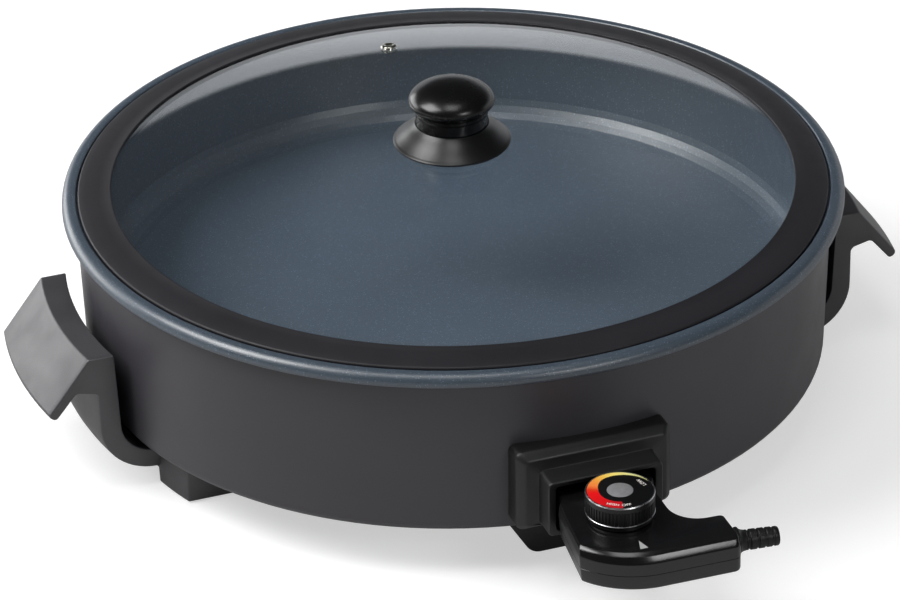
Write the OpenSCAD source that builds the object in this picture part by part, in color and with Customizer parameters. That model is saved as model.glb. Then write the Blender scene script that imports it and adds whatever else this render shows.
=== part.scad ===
// Round electric skillet: cast pan in a painted shell, glass lid, plug-in heat control.
// Millimetres. +Z is up, the handles lie on +X and -X, and the socket faces -Y.
// The origin is at table level, under the middle of the whole object.

/* [Pan] */
// Outside diameter of the rim
rim_d = 380; // [340:1:420]
// Height of the rim's roll
rim_h = 6.4; // [4:0.1:8]
// Width of the rim outside the lid's ledge
rim_w = 7; // [5:0.5:8]
// Width of the ledge that the lid sits on
ledge_w = 5.5; // [5:0.5:9]
// Thickness of the ledge
ledge_t = 3.9; // [2:0.1:4.5]
// Inside depth from the rim's top to the floor
pan_depth = 58; // [50:1:60]
// Thickness of the pan's wall
pan_wall = 3; // [2:0.25:3.5]
// Thickness of the pan's floor
pan_floor = 4; // [3:0.25:6]
// Inside radius between wall and floor
pan_corner_r = 14; // [8:1:18]
// How much the pan's wall leans in towards the floor
pan_draft = 3; // [1:0.5:5]

/* [Shell] */
// Height of the outer shell
shell_h = 82.1; // [80:0.1:92]
// Height of the shell's underside over the table
shell_lift = 24; // [20:1:30]
// How far the rim overhangs the shell
rim_over = 6.3; // [5.5:0.1:7]
// Sheet thickness of the shell
shell_t = 1.2; // [0.8:0.1:1.6]
// How much the shell leans in towards its foot
shell_draft = 2.1; // [1:0.1:3]
// Radius of the shell's lower corner
shell_corner_r = 5.4; // [4:0.2:8]
// Width of the shell's inward flange
flange_w = 36; // [32:1:44]
// Thickness of the base plate
plate_t = 0.8; // [0.6:0.1:1.2]

/* [Heating element] */
// Radius of the element's ring
element_r = 105; // [90:1:115]
// Diameter of the element's sheath
element_d = 7; // [6:0.5:8]
// Bend radius where the ring turns into its legs
element_bend_r = 14; // [12:1:20]
// Side clearance of the cast boss round the element
boss_side = 4.5; // [3:0.5:6]
// Distance from the middle to each terminal pin
pin_x = 14; // [12:0.5:16]
// Diameter of the terminal pins
pin_d = 5; // [4:0.25:6]

/* [Socket] */
// Depth of the probe's axis under the cooking surface
probe_drop = 6.5; // [6.25:0.25:8]
// Width of the shroud's frame
frame_w = 76; // [72:1:84]
// Height of the shroud's frame
frame_h = 41.5; // [38:0.5:46]
// Bevel round the frame
frame_bevel = 4.2; // [2:0.2:6]
// Height of the frame's centre over the socket's centre
frame_up = 2.8; // [1:0.2:4]
// How far the frame stands out from the shell
frame_out = 8.3; // [6:0.1:10]
// Width of the collar that holds the control
collar_w = 56; // [54:0.5:60]
// Height of the collar
collar_h = 28.4; // [27:0.2:32]
// Wall thickness of the collar over and under the nose
collar_wall = 3.8; // [2.5:0.1:4]
// How far the collar stands out from the frame
collar_out = 12; // [8:0.5:16]

/* [Handles] */
// Width of each handle
handle_w = 85.6; // [70:0.2:100]
// Gap between the shell and the handle's arm
handle_gap = 6.5; // [5:0.5:10]
// Height of the handle's top over the table
handle_top_z = 75; // [70:1:80]
// Width of the flat on the handle's top
handle_top_w = 12.2; // [10:0.2:15]
// How far the flap reaches outwards
flap_reach = 20.7; // [16:0.1:26]
// How far the flap drops
flap_drop = 26.9; // [22:0.1:30]
// Thickness of the flap at its tip
flap_t = 4.6; // [3:0.2:7]
// Thickness of the arm
arm_t = 9.8; // [8:0.2:12]
// Outer radius of the bend at the arm's foot
arm_bend_r = 26; // [22:0.5:28]
// Width of each handle's foot bracket
bracket_w = 130; // [110:1:150]
// Depth of the foot bracket towards the middle
bracket_depth = 39; // [34:1:44]
// Width of each leg of the bracket
leg_w = 24; // [18:1:28]
// Thickness of the rubber foot pads
pad_t = 1.5; // [1:0.1:2.5]
// Distance from the middle to each handle screw, across
handle_screw_y = 33; // [28:1:34]

/* [Front foot] */
// Width of the foot under the socket
front_foot_w = 68; // [60:1:80]
// Depth of the foot under the socket
front_foot_depth = 20; // [16:1:24]

/* [Lid] */
// Height of the glass's top over the rim's reference line
glass_rise = 23.5; // [20:0.5:30]
// Thickness of the glass
glass_t = 4; // [3:0.25:5]
// Visible width of the silicone ring
ring_w = 16.4; // [12:0.2:22]
// How far the ring's inner edge stands over the ledge
ring_rise = 5; // [4:0.1:6.5]
// Running gap between lid and rim
lid_gap = 0.8; // [0.5:0.1:1.5]
// Distance from the lid's middle to the steam vent
vent_r = 127.5; // [100:0.5:140]
// Diameter of the vent's flange
vent_flange_d = 8.6; // [7:0.2:11]
// Diameter of the vent's hole
vent_hole_d = 3.4; // [2:0.2:4]

/* [Lid knob] */
// Diameter of the knob's head
knob_d = 41.6; // [36:0.2:48]
// Diameter of the knob's neck
neck_d = 35; // [30:0.5:36]
// Height of the knob's neck
neck_h = 9.5; // [7:0.5:12]
// Height of the knob's head
head_h = 11.5; // [9:0.1:15]
// Diameter of the knob's skirt
skirt_d = 57.2; // [52:0.2:66]
// Height of the knob's skirt
skirt_h = 10; // [8:0.5:13]
// Diameter of the knob's screw
knob_screw_d = 5; // [4:0.5:6]

/* [Heat control] */
// Thickness of the control's body
control_h = 18; // [17.6:0.1:20]
// Width of the control's nose
nose_w = 46; // [42:0.5:48]
// Side clearance between the nose and the collar
nose_gap = 1.2; // [0.6:0.1:2]
// How far the nose goes into the collar
nose_in = 18; // [14:0.5:19]
// Distance from the collar to the control's front
control_reach = 63.4; // [58:0.2:70]
// How far the arm with the cord's boot reaches to the side
arm_reach = 41; // [38:0.5:46]
// Wall thickness of the control's shells
case_t = 2; // [1.6:0.1:2.4]
// Height of the seam over the control's underside
seam_h = 7.5; // [5:0.5:9]
// Diameter of the temperature probe
probe_d = 8; // [6:0.25:8.5]
// Length of the probe in front of the carrier
probe_len = 86; // [70:1:92]
// Running clearance round the probe and the pins
plug_gap = 0.3; // [0.2:0.05:0.5]
// Length of the boot for the cord
boot_len = 22; // [16:0.5:30]
// Diameter of the cord's bore through the boot
cord_bore_d = 5.6; // [4.5:0.1:6.5]

/* [Dial] */
// Diameter of the dial
dial_d = 31.8; // [26:0.2:34]
// Height of the dial
dial_h = 13; // [10:0.2:15]
// Number of ribs round the dial
dial_ribs = 60; // [40:2:72]
// Diameter of the disc at the middle of the dial
dial_disc_d = 11.4; // [8:0.2:14]
// Diameter of the dial's spindle
spindle_d = 6; // [5:0.25:7]
// Distance from the collar to the dial's axis
dial_out = 26; // [24:0.5:30]
// Sideways place of the dial's axis
dial_x = -3.5; // [-5:0.5:0]

/* [Hidden] */
$fn = 96;
eps = 0.01;
big = 400;
fine = 6; // steps in a quarter-round

// Pan and shell
rim_r = rim_d / 2;
rim_base_z = shell_lift + shell_h;
rim_top_z = rim_base_z + rim_h;
ledge_z = rim_base_z + ledge_t;
ledge_out_r = rim_r - rim_w;
pan_in_r = ledge_out_r - ledge_w;
floor_z = rim_top_z - pan_depth;
floor_base_z = floor_z - pan_floor;
socket_z = floor_z - probe_drop;
rim_roll_r = 0.7 * rim_h; // the rim's upper outer edge
rim_low_r = 0.25 * rim_h; // and its lower one
rim_edge_r = 1.2;
shell_r = rim_r - rim_over;
shell_foot_r = shell_r - shell_draft;
flange_in_r = shell_foot_r - shell_corner_r - flange_w;
plate_z = shell_lift + shell_t;
plate_top_z = plate_z + plate_t;
plate_r = shell_foot_r - shell_corner_r - flange_w / 2;

// Cast bosses under the pan's floor
boss_cover = 3; // metal under the element
boss_base_z = socket_z - element_d / 2 - boss_cover;
block_set_back = 21; // from the rim's edge to the terminal block's face
block_lap = 7; // how far the block reaches into the ring
block_half_w = pin_x + element_d / 2 + boss_side;
boss_front = rim_r - block_set_back;
boss_back = element_r - block_lap;
screw_boss_r = 7;
handle_screw_in = 34;
handle_screw_x = shell_foot_r - handle_screw_in;
cast_gap = 0.05;
seat_gap = 0.1; // between the shell and what is fitted against its curve
swage = 0.15;
swage_turn = 2;
swage_lap = 0.5;

// Screws
screw_r = 1.9;
screw_head_r = 3.8;
screw_head_h = 2.6;
screw_hole_r = 2.2;
screw_pocket_r = screw_head_r + 0.6;
screw_tip_gap = 4; // metal between the base screws and the probe's sleeve

// Socket
pin_r = pin_d / 2;
frame_front = shell_r + frame_out;
collar_front = frame_front + collar_out;
frame_z = socket_z + frame_up;
opening_w = nose_w + 2 * nose_gap;
opening_h = collar_h - 1.4 * collar_wall;
pin_set_back = 5; // from the collar's front to the pins' tips
pin_tip = collar_front - pin_set_back;
insulator_t = 6;
insulator_wall = 1;
insulator_r = element_d / 2 + insulator_wall;
insulator_front = boss_front + insulator_t;
sleeve_wall = 0.9;
sleeve_end_t = 1.5;
sleeve_r = probe_d / 2 + plug_gap + sleeve_wall;
probe_end_gap = 6.5; // from the probe's tip to the sleeve's end
sleeve_back = collar_front - probe_len - probe_end_gap - sleeve_end_t;
screw_bite = socket_z - sleeve_r - screw_tip_gap - plate_top_z;
shroud_screw_out = 4.5; // from the collar's side to the screw's axis
shroud_screw_x = collar_w / 2 + shroud_screw_out;
shroud_screw_cover = 2.5; // plastic in front of the screw's tip
shroud_screw_front = frame_front - shroud_screw_cover;
frame_root = 12; // how far the frame's block starts inside the shell
throat_reach = 3.4; // how far the throat reaches inside the shell

// Handles
arm_in_r = shell_r + handle_gap;
ridge_r = arm_in_r + handle_top_w;
arm_lean = 1.5; // how much closer to the shell the arm's foot is than its top
arm_out_r = arm_in_r - arm_lean + arm_t;
arm_drop = 14; // from the shell's underside to the arm's
arm_base_z = shell_lift - arm_drop;
arm_lap = 4; // how far the arm reaches into the bracket
arm_bend_z = arm_base_z + arm_bend_r;
bend_c_r = arm_out_r - arm_bend_r;
foot_in = 10; // how far the bracket stands inside the shell's foot
foot_out_r = shell_foot_r - foot_in;
bracket_in_r = foot_out_r - bracket_depth;
bracket_front_t = 3;
leg_lift = 0.5;
leg_edge = 1;
mid_lift = 8;
pad_inset = 4;
pad_inner = 8; // from the bracket's inner face to the pad
pad_outer = 14; // from the bracket's outer face to the pad

// Front foot
foot_set_back = 17.7; // from the shell's side to the foot's face
foot_front = shell_r - foot_set_back;
foot_shoulder = 4;
foot_taper = 12;
foot_screw_off = 4; // how far the screw stands behind the foot's middle
foot_screw_y = foot_front - front_foot_depth / 2 - foot_screw_off;
front_pad_w = 12;
front_pad_wall = 2;
front_pad_inset = 3;

// Lid: all heights hang on the ledge
glass_top_z = ledge_z + glass_rise;
ring_out_r = ledge_out_r - lid_gap;
ring_in_r = ring_out_r - ring_w;
ring_top_z = ledge_z + ring_rise;
ring_lip_t = 0.7;
ring_edge_h = 3; // height of the ring's outer edge over the ledge
ring_edge_r = 1.2;
ring_heel = 1.5; // how far the ring stays back under the glass
ring_sole_drop = 3.4; // how far the ring's lip reaches into the pan
glass_lap = 6.2; // how far the glass reaches into the ring
glass_edge_r = ring_in_r + glass_lap;
glass_sag = glass_top_z - (ring_top_z - ring_lip_t);
glass_ball_r = (ring_in_r * ring_in_r + glass_sag * glass_sag) / (2 * glass_sag);
vent_angle = 85;
vent_tilt = asin(vent_r / glass_ball_r);
vent_lap = 1.6; // how far the vent's flanges lie on the glass
vent_barrel_r = vent_flange_d / 2 - vent_lap - cast_gap;
screw_hole_gap = 0.4;

// Lid knob
skirt_lip = 1.6;
skirt_z = glass_height(skirt_d / 2 - skirt_lip) + cast_gap;
washer_r = 8;
washer_t = 1;
under_washer_z = glass_under(washer_r) - cast_gap - washer_t;
neck_z = skirt_z + skirt_h;
head_z = neck_z + neck_h;
skirt_t = 1.4;
skirt_hub_r = 7;
insert_r = 4;
knob_groove = 0.7;
groove_w = 0.8;
groove_drops = [3.6, 1.6]; // from the neck's top to each groove
head_lip = 2.3; // from the head's underside to its widest circle

// Heat control
nose_under = 1.34; // clearance under the nose in the collar
case_base_z = socket_z - opening_h / 2 + nose_under;
case_top_z = case_base_z + control_h;
case_floor_z = case_base_z + case_t;
case_edge = 3; // height of the stepped edge round the case's top
seam_z = case_base_z + seam_h;
control_front = collar_front + control_reach;
nose_back = collar_front - nose_in;
carrier_back = nose_back + case_t;
carrier_len = 15;
carrier_front = carrier_back + carrier_len;
receptacle_r = pin_r + plug_gap + 0.9;
probe_collar_r = case_top_z - case_t - socket_z - 0.8; // fits under the case's top
probe_collar_t = 1.5;
dial_y = -(collar_front + dial_out);
arm_depth = 23.4; // of the control's arm, from its front
cheek_w = 3.8; // how far the left cheek stands out beside the nose
cheek_flare = 3.8; // how much more it stands out at the front
cheek_front = 18; // from the control's front to the cheek's front corner
waist_in = 3; // how far the right side lies inside the nose's
boot_turn = -7;
boot_wall = 1.6;
boot_r = cord_bore_d / 2 + boot_wall;
boot_bore_in = 12;
boot_bore_out = 8;
boot_in = 1.2; // how far the boot's zero lies inside the arm's end
boot_x = arm_reach - boot_in;
boot_lip_r = boot_r + 2.2;
boot_lip_z = boot_in / cos(boot_turn) + boot_lip_r * abs(tan(boot_turn)) + seat_gap;
boot_y = -(control_front - arm_depth / 2);
boot_z = case_base_z + control_h / 2;
case_screws = [
    [-nose_w / 2 + 4, -(control_front - 14)],
    [arm_reach - 12, -(control_front - 6)],
    [6, -(collar_front + 9)]
];
case_boss_r = 3.6;
case_screw_r = screw_r - 0.4;
case_screw_head_r = 2.9;
case_screw_bite = 6;
thermostat_w = 22;
thermostat_depth = 16;
thermostat_h = 5;
blade_h = 5;
blade_t = 0.6;
button_r = 1.3;
button_t = 1.2;
inlay_t = 0.3;
pointer_out = 13.6; // from the dial's edge to the pointer's base
pointer_w = 3.8;
pointer_len = 6.8;

// Dial
dial_r = dial_d / 2;
dial_z = case_top_z + plug_gap;
dial_top_z = dial_z + dial_h;
trim_h = 0.6;
collet_h = 2.6;
plate_drop = 0.5;
face_r = dial_r - 0.7;
core_r = dial_r - 1.4;
rib_d = 0.5;
cam_r = 6.5;
cam_h = 3;
cam_pin_r = 1.5;

// The pan's axis stands off the origin, which lies under the middle of the whole object
axis_y = (control_front - rim_r) / 2;

// Inner radius of the shell's side at a height
function shell_inside(z) =
    shell_foot_r - shell_t + shell_draft * (z - shell_lift - shell_corner_r) / (shell_h - shell_corner_r);

// Heights of the glass's upper face and of the one under it, at a distance from its axis
function glass_height(r) = glass_top_z - glass_ball_r + sqrt(glass_ball_r * glass_ball_r - r * r);
function glass_under(r) = glass_top_z - glass_ball_r + sqrt(pow(glass_ball_r - glass_t, 2) - r * r);

// Points along an arc
function arc(x, y, r, from, to, steps = fine) =
    [for (i = [0 : steps]) let (a = from + (to - from) * i / steps) [x + r * cos(a), y + r * sin(a)]];

function unit(v) = v / norm(v);
function cross2(a, b) = a[0] * b[1] - a[1] * b[0];

// One rounded corner between two neighbours
function round_at(before, p, after, r) =
    let (
        u = unit(before - p),
        v = unit(after - p),
        half = acos(u * v) / 2,
        run = r / tan(half),
        c = p + unit(u + v) * r / sin(half),
        from = p + u * run - c,
        to = p + v * run - c,
        a0 = atan2(from[1], from[0]),
        turn = atan2(cross2(from, to), from * to)
    )
    arc(c[0], c[1], r, a0, a0 + turn, max(2, ceil(abs(turn) / 15)));

// A closed outline whose corners are [x, y, radius]
function rounded(corners) =
    let (n = len(corners))
    [for (i = [0 : n - 1])
        let (
            p = corners[i],
            q = corners[(i + n - 1) % n],
            s = corners[(i + 1) % n]
        )
        for (point = p[2] > 0 ? round_at([q[0], q[1]], [p[0], p[1]], [s[0], s[1]], p[2]) : [[p[0], p[1]]])
            point];

// A rectangle standing in the XZ plane, with round corners, from y = -front to y = -back
module upright(w, h, r, z, front, back) {
    outline = rounded([[-w / 2, -h / 2, r], [w / 2, -h / 2, r], [w / 2, h / 2, r], [-w / 2, h / 2, r]]);
    translate([0, -back, z])
        rotate([90, 0, 0])
            linear_extrude(front - back)
                polygon(outline);
}

// A rod along -Y, from y = -back to y = -front
module rod(x, z, r, back, front) {
    translate([x, -back, z])
        rotate([90, 0, 0])
            cylinder(r = r, h = front - back);
}

module at_axis() {
    translate([0, axis_y, 0])
        children();
}

// ---- Pan ----

// The bent sheath, swaged thinner at each bend and again at each leg.
// grow makes the cavity that it is cast into.
module element_path(grow) {
    r = element_d / 2 + grow;
    c_x = pin_x + element_bend_r;
    c_y = -sqrt(pow(element_r + element_bend_r, 2) - c_x * c_x);
    tilt = asin(c_x / (element_r + element_bend_r));
    translate([0, 0, socket_z]) {
        rotate([0, 0, tilt - 90])
            rotate_extrude(angle = 360 - 2 * tilt)
                translate([element_r, 0])
                    circle(r);
        for (side = [-1, 1]) {
            start = side > 0 ? 90 + tilt - swage_turn : 0;
            translate([side * c_x, c_y, 0])
                rotate([0, 0, start])
                    rotate_extrude(angle = 90 - tilt + swage_turn)
                        translate([element_bend_r, 0])
                            circle(r - swage);
            translate([side * pin_x, c_y + swage_lap, 0])
                rotate([90, 0, 0])
                    cylinder(r = r - 2 * swage, h = boss_front + c_y + grow + swage_lap);
        }
    }
}

module handle_screw_places() {
    for (y = [-handle_screw_y, handle_screw_y])
        translate([handle_screw_x, y, 0])
            children();
}

module opposite_screw_places() {
    for (turn = [0, 180])
        rotate([0, 0, turn])
            handle_screw_places()
                children();
}

module front_screw_place() {
    translate([0, -foot_screw_y, 0])
        children();
}

module all_screw_places() {
    opposite_screw_places()
        children();
    front_screw_place()
        children();
}

module pan() {
    wall_r = pan_in_r + pan_wall;
    foot_r = wall_r - pan_draft;
    out_corner = pan_corner_r + pan_wall;
    color([0.27, 0.32, 0.37])
        difference() {
            union() {
                rotate_extrude()
                    polygon(concat(
                        [[0, floor_base_z]],
                        arc(foot_r - out_corner, floor_base_z + out_corner, out_corner, -90, 0),
                        [[wall_r, rim_base_z]],
                        arc(rim_r - rim_low_r, rim_base_z + rim_low_r, rim_low_r, -90, 0, 5),
                        arc(rim_r - rim_roll_r, rim_top_z - rim_roll_r, rim_roll_r, 0, 90, 2 * fine),
                        arc(ledge_out_r + rim_edge_r, rim_top_z - rim_edge_r, rim_edge_r, 90, 180, 3),
                        [[ledge_out_r, ledge_z], [pan_in_r, ledge_z]],
                        arc(foot_r - pan_wall - pan_corner_r, floor_z + pan_corner_r, pan_corner_r, 0, -90),
                        [[0, floor_z]]
                    ));
                opposite_screw_places()
                    translate([0, 0, plate_top_z])
                        cylinder(r = screw_boss_r, h = floor_base_z + eps - plate_top_z);
            }
            heater_grooves();
            opposite_screw_places()
                screw_bore();
        }
}

// Space of the element and of the probe's sleeve, half in the floor and half in the casting
module heater_grooves() {
    element_path(cast_gap);
    rod(0, socket_z, sleeve_r + cast_gap, sleeve_back - cast_gap, insulator_front);
}

// Bore for a base screw, as wide as the screw
module screw_bore() {
    translate([0, 0, plate_top_z - eps])
        cylinder(r = screw_r + cast_gap, h = screw_bite + 1);
}

// Ring round the element with the terminal block and the front screw's boss, brazed to the pan's floor
module heater_casting() {
    color([0.60, 0.60, 0.59])
        difference() {
            union() {
                rotate_extrude()
                    translate([element_r - element_d / 2 - boss_side, boss_base_z])
                        square([element_d + 2 * boss_side, floor_base_z - boss_base_z]);
                translate([-block_half_w, -boss_front, boss_base_z])
                    cube([2 * block_half_w, boss_front - boss_back, floor_base_z - boss_base_z]);
                front_screw_place()
                    translate([0, 0, plate_top_z])
                        cylinder(r = screw_boss_r, h = floor_base_z - plate_top_z);
            }
            heater_grooves();
            front_screw_place()
                screw_bore();
        }
}

module heating_element() {
    color([0.45, 0.44, 0.42])
        element_path(0);
}

module terminal_pin(side) {
    color([0.80, 0.78, 0.72])
        rod(side * pin_x, socket_z, pin_r, boss_front, pin_tip);
}

module terminal_insulators() {
    color([0.90, 0.88, 0.82])
        for (side = [-1, 1])
            difference() {
                rod(side * pin_x, socket_z, insulator_r, boss_front, insulator_front);
                rod(side * pin_x, socket_z, pin_r + cast_gap, boss_front - 1, insulator_front + 1);
            }
}

module probe_sleeve() {
    color([0.70, 0.70, 0.69])
        difference() {
            rod(0, socket_z, sleeve_r, sleeve_back, insulator_front);
            rod(0, socket_z, sleeve_r - sleeve_wall, sleeve_back + sleeve_end_t, insulator_front + 1);
        }
}

// ---- Shell ----

module shell_solid(r_off, top_extra) {
    rotate_extrude()
        polygon(concat(
            [[0, shell_lift]],
            arc(shell_foot_r - shell_corner_r, shell_lift + shell_corner_r, shell_corner_r + r_off, -90, 0),
            [[shell_r + r_off, rim_base_z + top_extra], [0, rim_base_z + top_extra]]
        ));
}

module outer_shell() {
    in_corner = shell_corner_r - shell_t;
    color([0.26, 0.25, 0.27])
        difference() {
            rotate_extrude()
                polygon(concat(
                    [[flange_in_r, shell_lift]],
                    arc(shell_foot_r - shell_corner_r, shell_lift + shell_corner_r, shell_corner_r, -90, 0),
                    [[shell_r, rim_base_z], [shell_r - shell_t, rim_base_z]],
                    arc(shell_foot_r - shell_corner_r, plate_z + in_corner, in_corner, 0, -90),
                    [[flange_in_r, plate_z]]
                ));
            throat(2 * cast_gap, rim_r, boss_front);
            all_screw_places()
                translate([0, 0, shell_lift - 1])
                    cylinder(r = screw_hole_r, h = shell_t + 2);
            for (x = [-shroud_screw_x, shroud_screw_x])
                rod(x, socket_z, screw_hole_r, boss_front, rim_r);
        }
}

// Outer shape of the shroud's throat, which passes through the shell
module throat(room, front, back) {
    upright(opening_w + 2 * case_t + room, opening_h + 2 * case_t + room, 2, socket_z, front, back);
}

// Sheet-steel plate that closes the underside, with a ring of vent slots
module base_plate() {
    slot_in = 40;
    slot_len = 34;
    slot_w = 5;
    color([0.55, 0.55, 0.55])
        translate([0, 0, plate_z])
            difference() {
                cylinder(r = plate_r, h = plate_t);
                for (turn = [0 : 30 : 359])
                    rotate([0, 0, turn])
                        translate([slot_in, -slot_w / 2, -1])
                            cube([slot_len, slot_w, plate_t + 2]);
                all_screw_places()
                    translate([0, 0, -1])
                        cylinder(r = screw_hole_r, h = plate_t + 2);
            }
}

// Bevelled frame with a collar that guides the control's nose
module socket_shroud() {
    bevel_at = frame_front - frame_bevel;
    throat_back = shell_r - throat_reach;
    color([0.10, 0.10, 0.10])
        difference() {
            union() {
                difference() {
                    union() {
                        upright(frame_w, frame_h, 3, frame_z, bevel_at, shell_r - frame_root);
                        hull() {
                            upright(frame_w, frame_h, 3, frame_z, bevel_at, bevel_at - eps, $fn = 32);
                            upright(frame_w - 2 * frame_bevel, frame_h - 2 * frame_bevel, 3,
                                frame_z, frame_front, frame_front - eps, $fn = 32);
                        }
                    }
                    shell_solid(seat_gap, 1);
                }
                upright(collar_w, collar_h, 2.5, socket_z, collar_front, shell_r + 1);
                throat(0, shell_r + 2, throat_back);
            }
            upright(opening_w, opening_h, 1.5, socket_z, collar_front + 1, throat_back - 1);
            for (x = [-shroud_screw_x, shroud_screw_x])
                rod(x, socket_z, screw_r + cast_gap, shell_r - frame_root, shroud_screw_front + 0.5);
        }
}

module shroud_screws() {
    wall_r = shell_inside(socket_z - screw_head_r) - cast_gap;
    inner_wall = sqrt(wall_r * wall_r - pow(shroud_screw_x + screw_head_r, 2));
    color("silver")
        for (x = [-shroud_screw_x, shroud_screw_x]) {
            rod(x, socket_z, screw_r, inner_wall - 0.5, shroud_screw_front);
            rod(x, socket_z, screw_head_r, inner_wall - screw_head_h, inner_wall);
        }
}

// ---- Handles and feet ----

module front_foot() {
    half = front_foot_w / 2;
    color([0.06, 0.06, 0.06])
        difference() {
            translate([0, -foot_front + front_foot_depth, 0])
                rotate([90, 0, 0])
                    linear_extrude(front_foot_depth)
                        polygon(rounded([
                            [-half, shell_lift, 0], [-half, shell_lift - foot_shoulder, 3],
                            [-half + foot_taper, leg_lift, 8], [half - foot_taper, leg_lift, 8],
                            [half, shell_lift - foot_shoulder, 3], [half, shell_lift, 0]
                        ]));
            front_screw_place() {
                cylinder(r = screw_hole_r, h = shell_lift + 1);
                translate([0, 0, -1])
                    cylinder(r = screw_pocket_r, h = mid_lift + screw_head_h + 1);
            }
            translate([0, 0, pad_t])
                mirror([0, 0, 1])
                    front_pad(pad_t + 1);
        }
}

// Two bars, one on each side of the screw's recess
module front_pad(t) {
    middle = screw_head_r + front_pad_wall + front_pad_w / 2;
    for (side = [-1, 1])
        translate([side * middle - front_pad_w / 2, -foot_front + front_pad_inset, 0])
            cube([front_pad_w, front_foot_depth - 2 * front_pad_inset, t]);
}

module front_foot_pad() {
    color([0.05, 0.05, 0.05])
        front_pad(pad_t);
}

module base_screw() {
    top = plate_top_z + screw_bite;
    translate([0, 0, mid_lift + screw_head_h])
        cylinder(r = screw_r, h = top - mid_lift - screw_head_h);
    translate([0, 0, mid_lift])
        cylinder(r = screw_head_r, h = screw_head_h);
}

module front_foot_screw() {
    color("silver")
        front_screw_place()
            base_screw();
}

// Section of the grip and arm, as radius and height
function grip_section() =
    let (
        tip_r = ridge_r + flap_reach,
        tip_z = handle_top_z - flap_drop,
        slope = atan2(flap_drop, flap_reach),
        in_tip = [tip_r - flap_t * sin(slope), tip_z - flap_t * cos(slope)],
        arch_z = handle_top_z - 18
    )
    concat(
        [[bend_c_r - arm_lap, arm_base_z]],
        arc(bend_c_r, arm_bend_z, arm_bend_r, -90, 0),
        rounded([
            [arm_out_r, arch_z - 8, 0],
            [arm_out_r, arch_z - 1.5, 3],
            [arm_out_r + 10.5, arch_z + 1, 3],
            [in_tip[0], in_tip[1], 2],
            [tip_r, tip_z, 2],
            [ridge_r, handle_top_z, 1.2],
            [arm_in_r, handle_top_z, 0.8],
            [arm_in_r - arm_lean, arm_bend_z, 0]
        ]),
        arc(bend_c_r, arm_bend_z, arm_bend_r - arm_t, 0, -90),
        [[bend_c_r - arm_lap, arm_base_z + arm_t]]
    );

module handle() {
    difference() {
        union() {
            intersection() {
                rotate_extrude()
                    polygon(grip_section());
                translate([0, -handle_w / 2, 0])
                    cube([big, handle_w, big]);
            }
            intersection() {
                rotate_extrude()
                    polygon([
                        [bracket_in_r, leg_lift], [foot_out_r - leg_edge, leg_lift],
                        [foot_out_r, leg_lift + leg_edge],
                        [foot_out_r, shell_lift], [bracket_in_r, shell_lift]
                    ]);
                translate([0, -bracket_w / 2, 0])
                    cube([big, bracket_w, big]);
            }
        }
        translate([0, -bracket_w / 2 + leg_w, -1])
            cube([foot_out_r - bracket_front_t, bracket_w - 2 * leg_w, mid_lift + 1]);
        handle_screw_places() {
            cylinder(r = screw_hole_r, h = shell_lift + 1);
            cylinder(r = screw_pocket_r, h = mid_lift + screw_head_h);
        }
        foot_pads(pad_t);
    }
}

// A pad under each leg; the legs have pockets of the same size
module foot_pads(t) {
    pad_in = bracket_in_r + pad_inner;
    pad_out = foot_out_r - pad_outer;
    pad_y = bracket_w / 2 - leg_w + pad_inset;
    pad_w = leg_w - 2 * pad_inset;
    for (side = [-1, 1])
        translate([pad_in, side * (pad_y + pad_w / 2) - pad_w / 2, 0])
            cube([pad_out - pad_in, pad_w, t]);
}

module left_handle() {
    color([0.30, 0.30, 0.31])
        rotate([0, 0, 180])
            handle();
}

module right_handle() {
    color([0.30, 0.30, 0.31])
        handle();
}

module handle_screws(turn) {
    color("silver")
        rotate([0, 0, turn])
            handle_screw_places()
                base_screw();
}

module rubber_pads(turn) {
    color([0.05, 0.05, 0.05])
        rotate([0, 0, turn])
            foot_pads(pad_t);
}

// ---- Lid ----

module lid_glass() {
    centre_z = glass_top_z - glass_ball_r;
    steps = 24;
    span = asin(glass_edge_r / glass_ball_r);
    color([0.80, 0.85, 0.88, 0.3])
        difference() {
            rotate_extrude()
                polygon(concat(
                    arc(0, centre_z, glass_ball_r, 90, 90 - span, steps),
                    arc(0, centre_z, glass_ball_r - glass_t, 90 - span, 90, steps)
                ));
            translate([0, 0, glass_top_z - 2 * glass_t])
                cylinder(r = knob_screw_d / 2 + screw_hole_gap, h = 3 * glass_t);
            vent_axis()
                translate([0, 0, -2 * glass_t])
                    cylinder(r = vent_barrel_r + cast_gap, h = 3 * glass_t);
        }
}

// The vent stands square to the curved glass; its own zero is on the glass's upper face
module vent_axis() {
    translate([0, 0, glass_top_z - glass_ball_r])
        rotate([0, 0, vent_angle])
            rotate([0, vent_tilt, 0])
                translate([0, 0, glass_ball_r])
                    children();
}

module vent_grommet() {
    color([0.80, 0.80, 0.78])
        vent_axis()
            difference() {
                union() {
                    cylinder(r1 = vent_flange_d / 2, r2 = vent_flange_d / 2 - 0.8, h = 0.9);
                    translate([0, 0, -glass_t - 0.4])
                        cylinder(r = vent_barrel_r, h = glass_t + 1);
                    translate([0, 0, -glass_t - 1])
                        cylinder(r = vent_flange_d / 2, h = 0.95);
                }
                translate([0, 0, -glass_t - 2])
                    cylinder(r = vent_hole_d / 2, h = glass_t + 4);
            }
}

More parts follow.
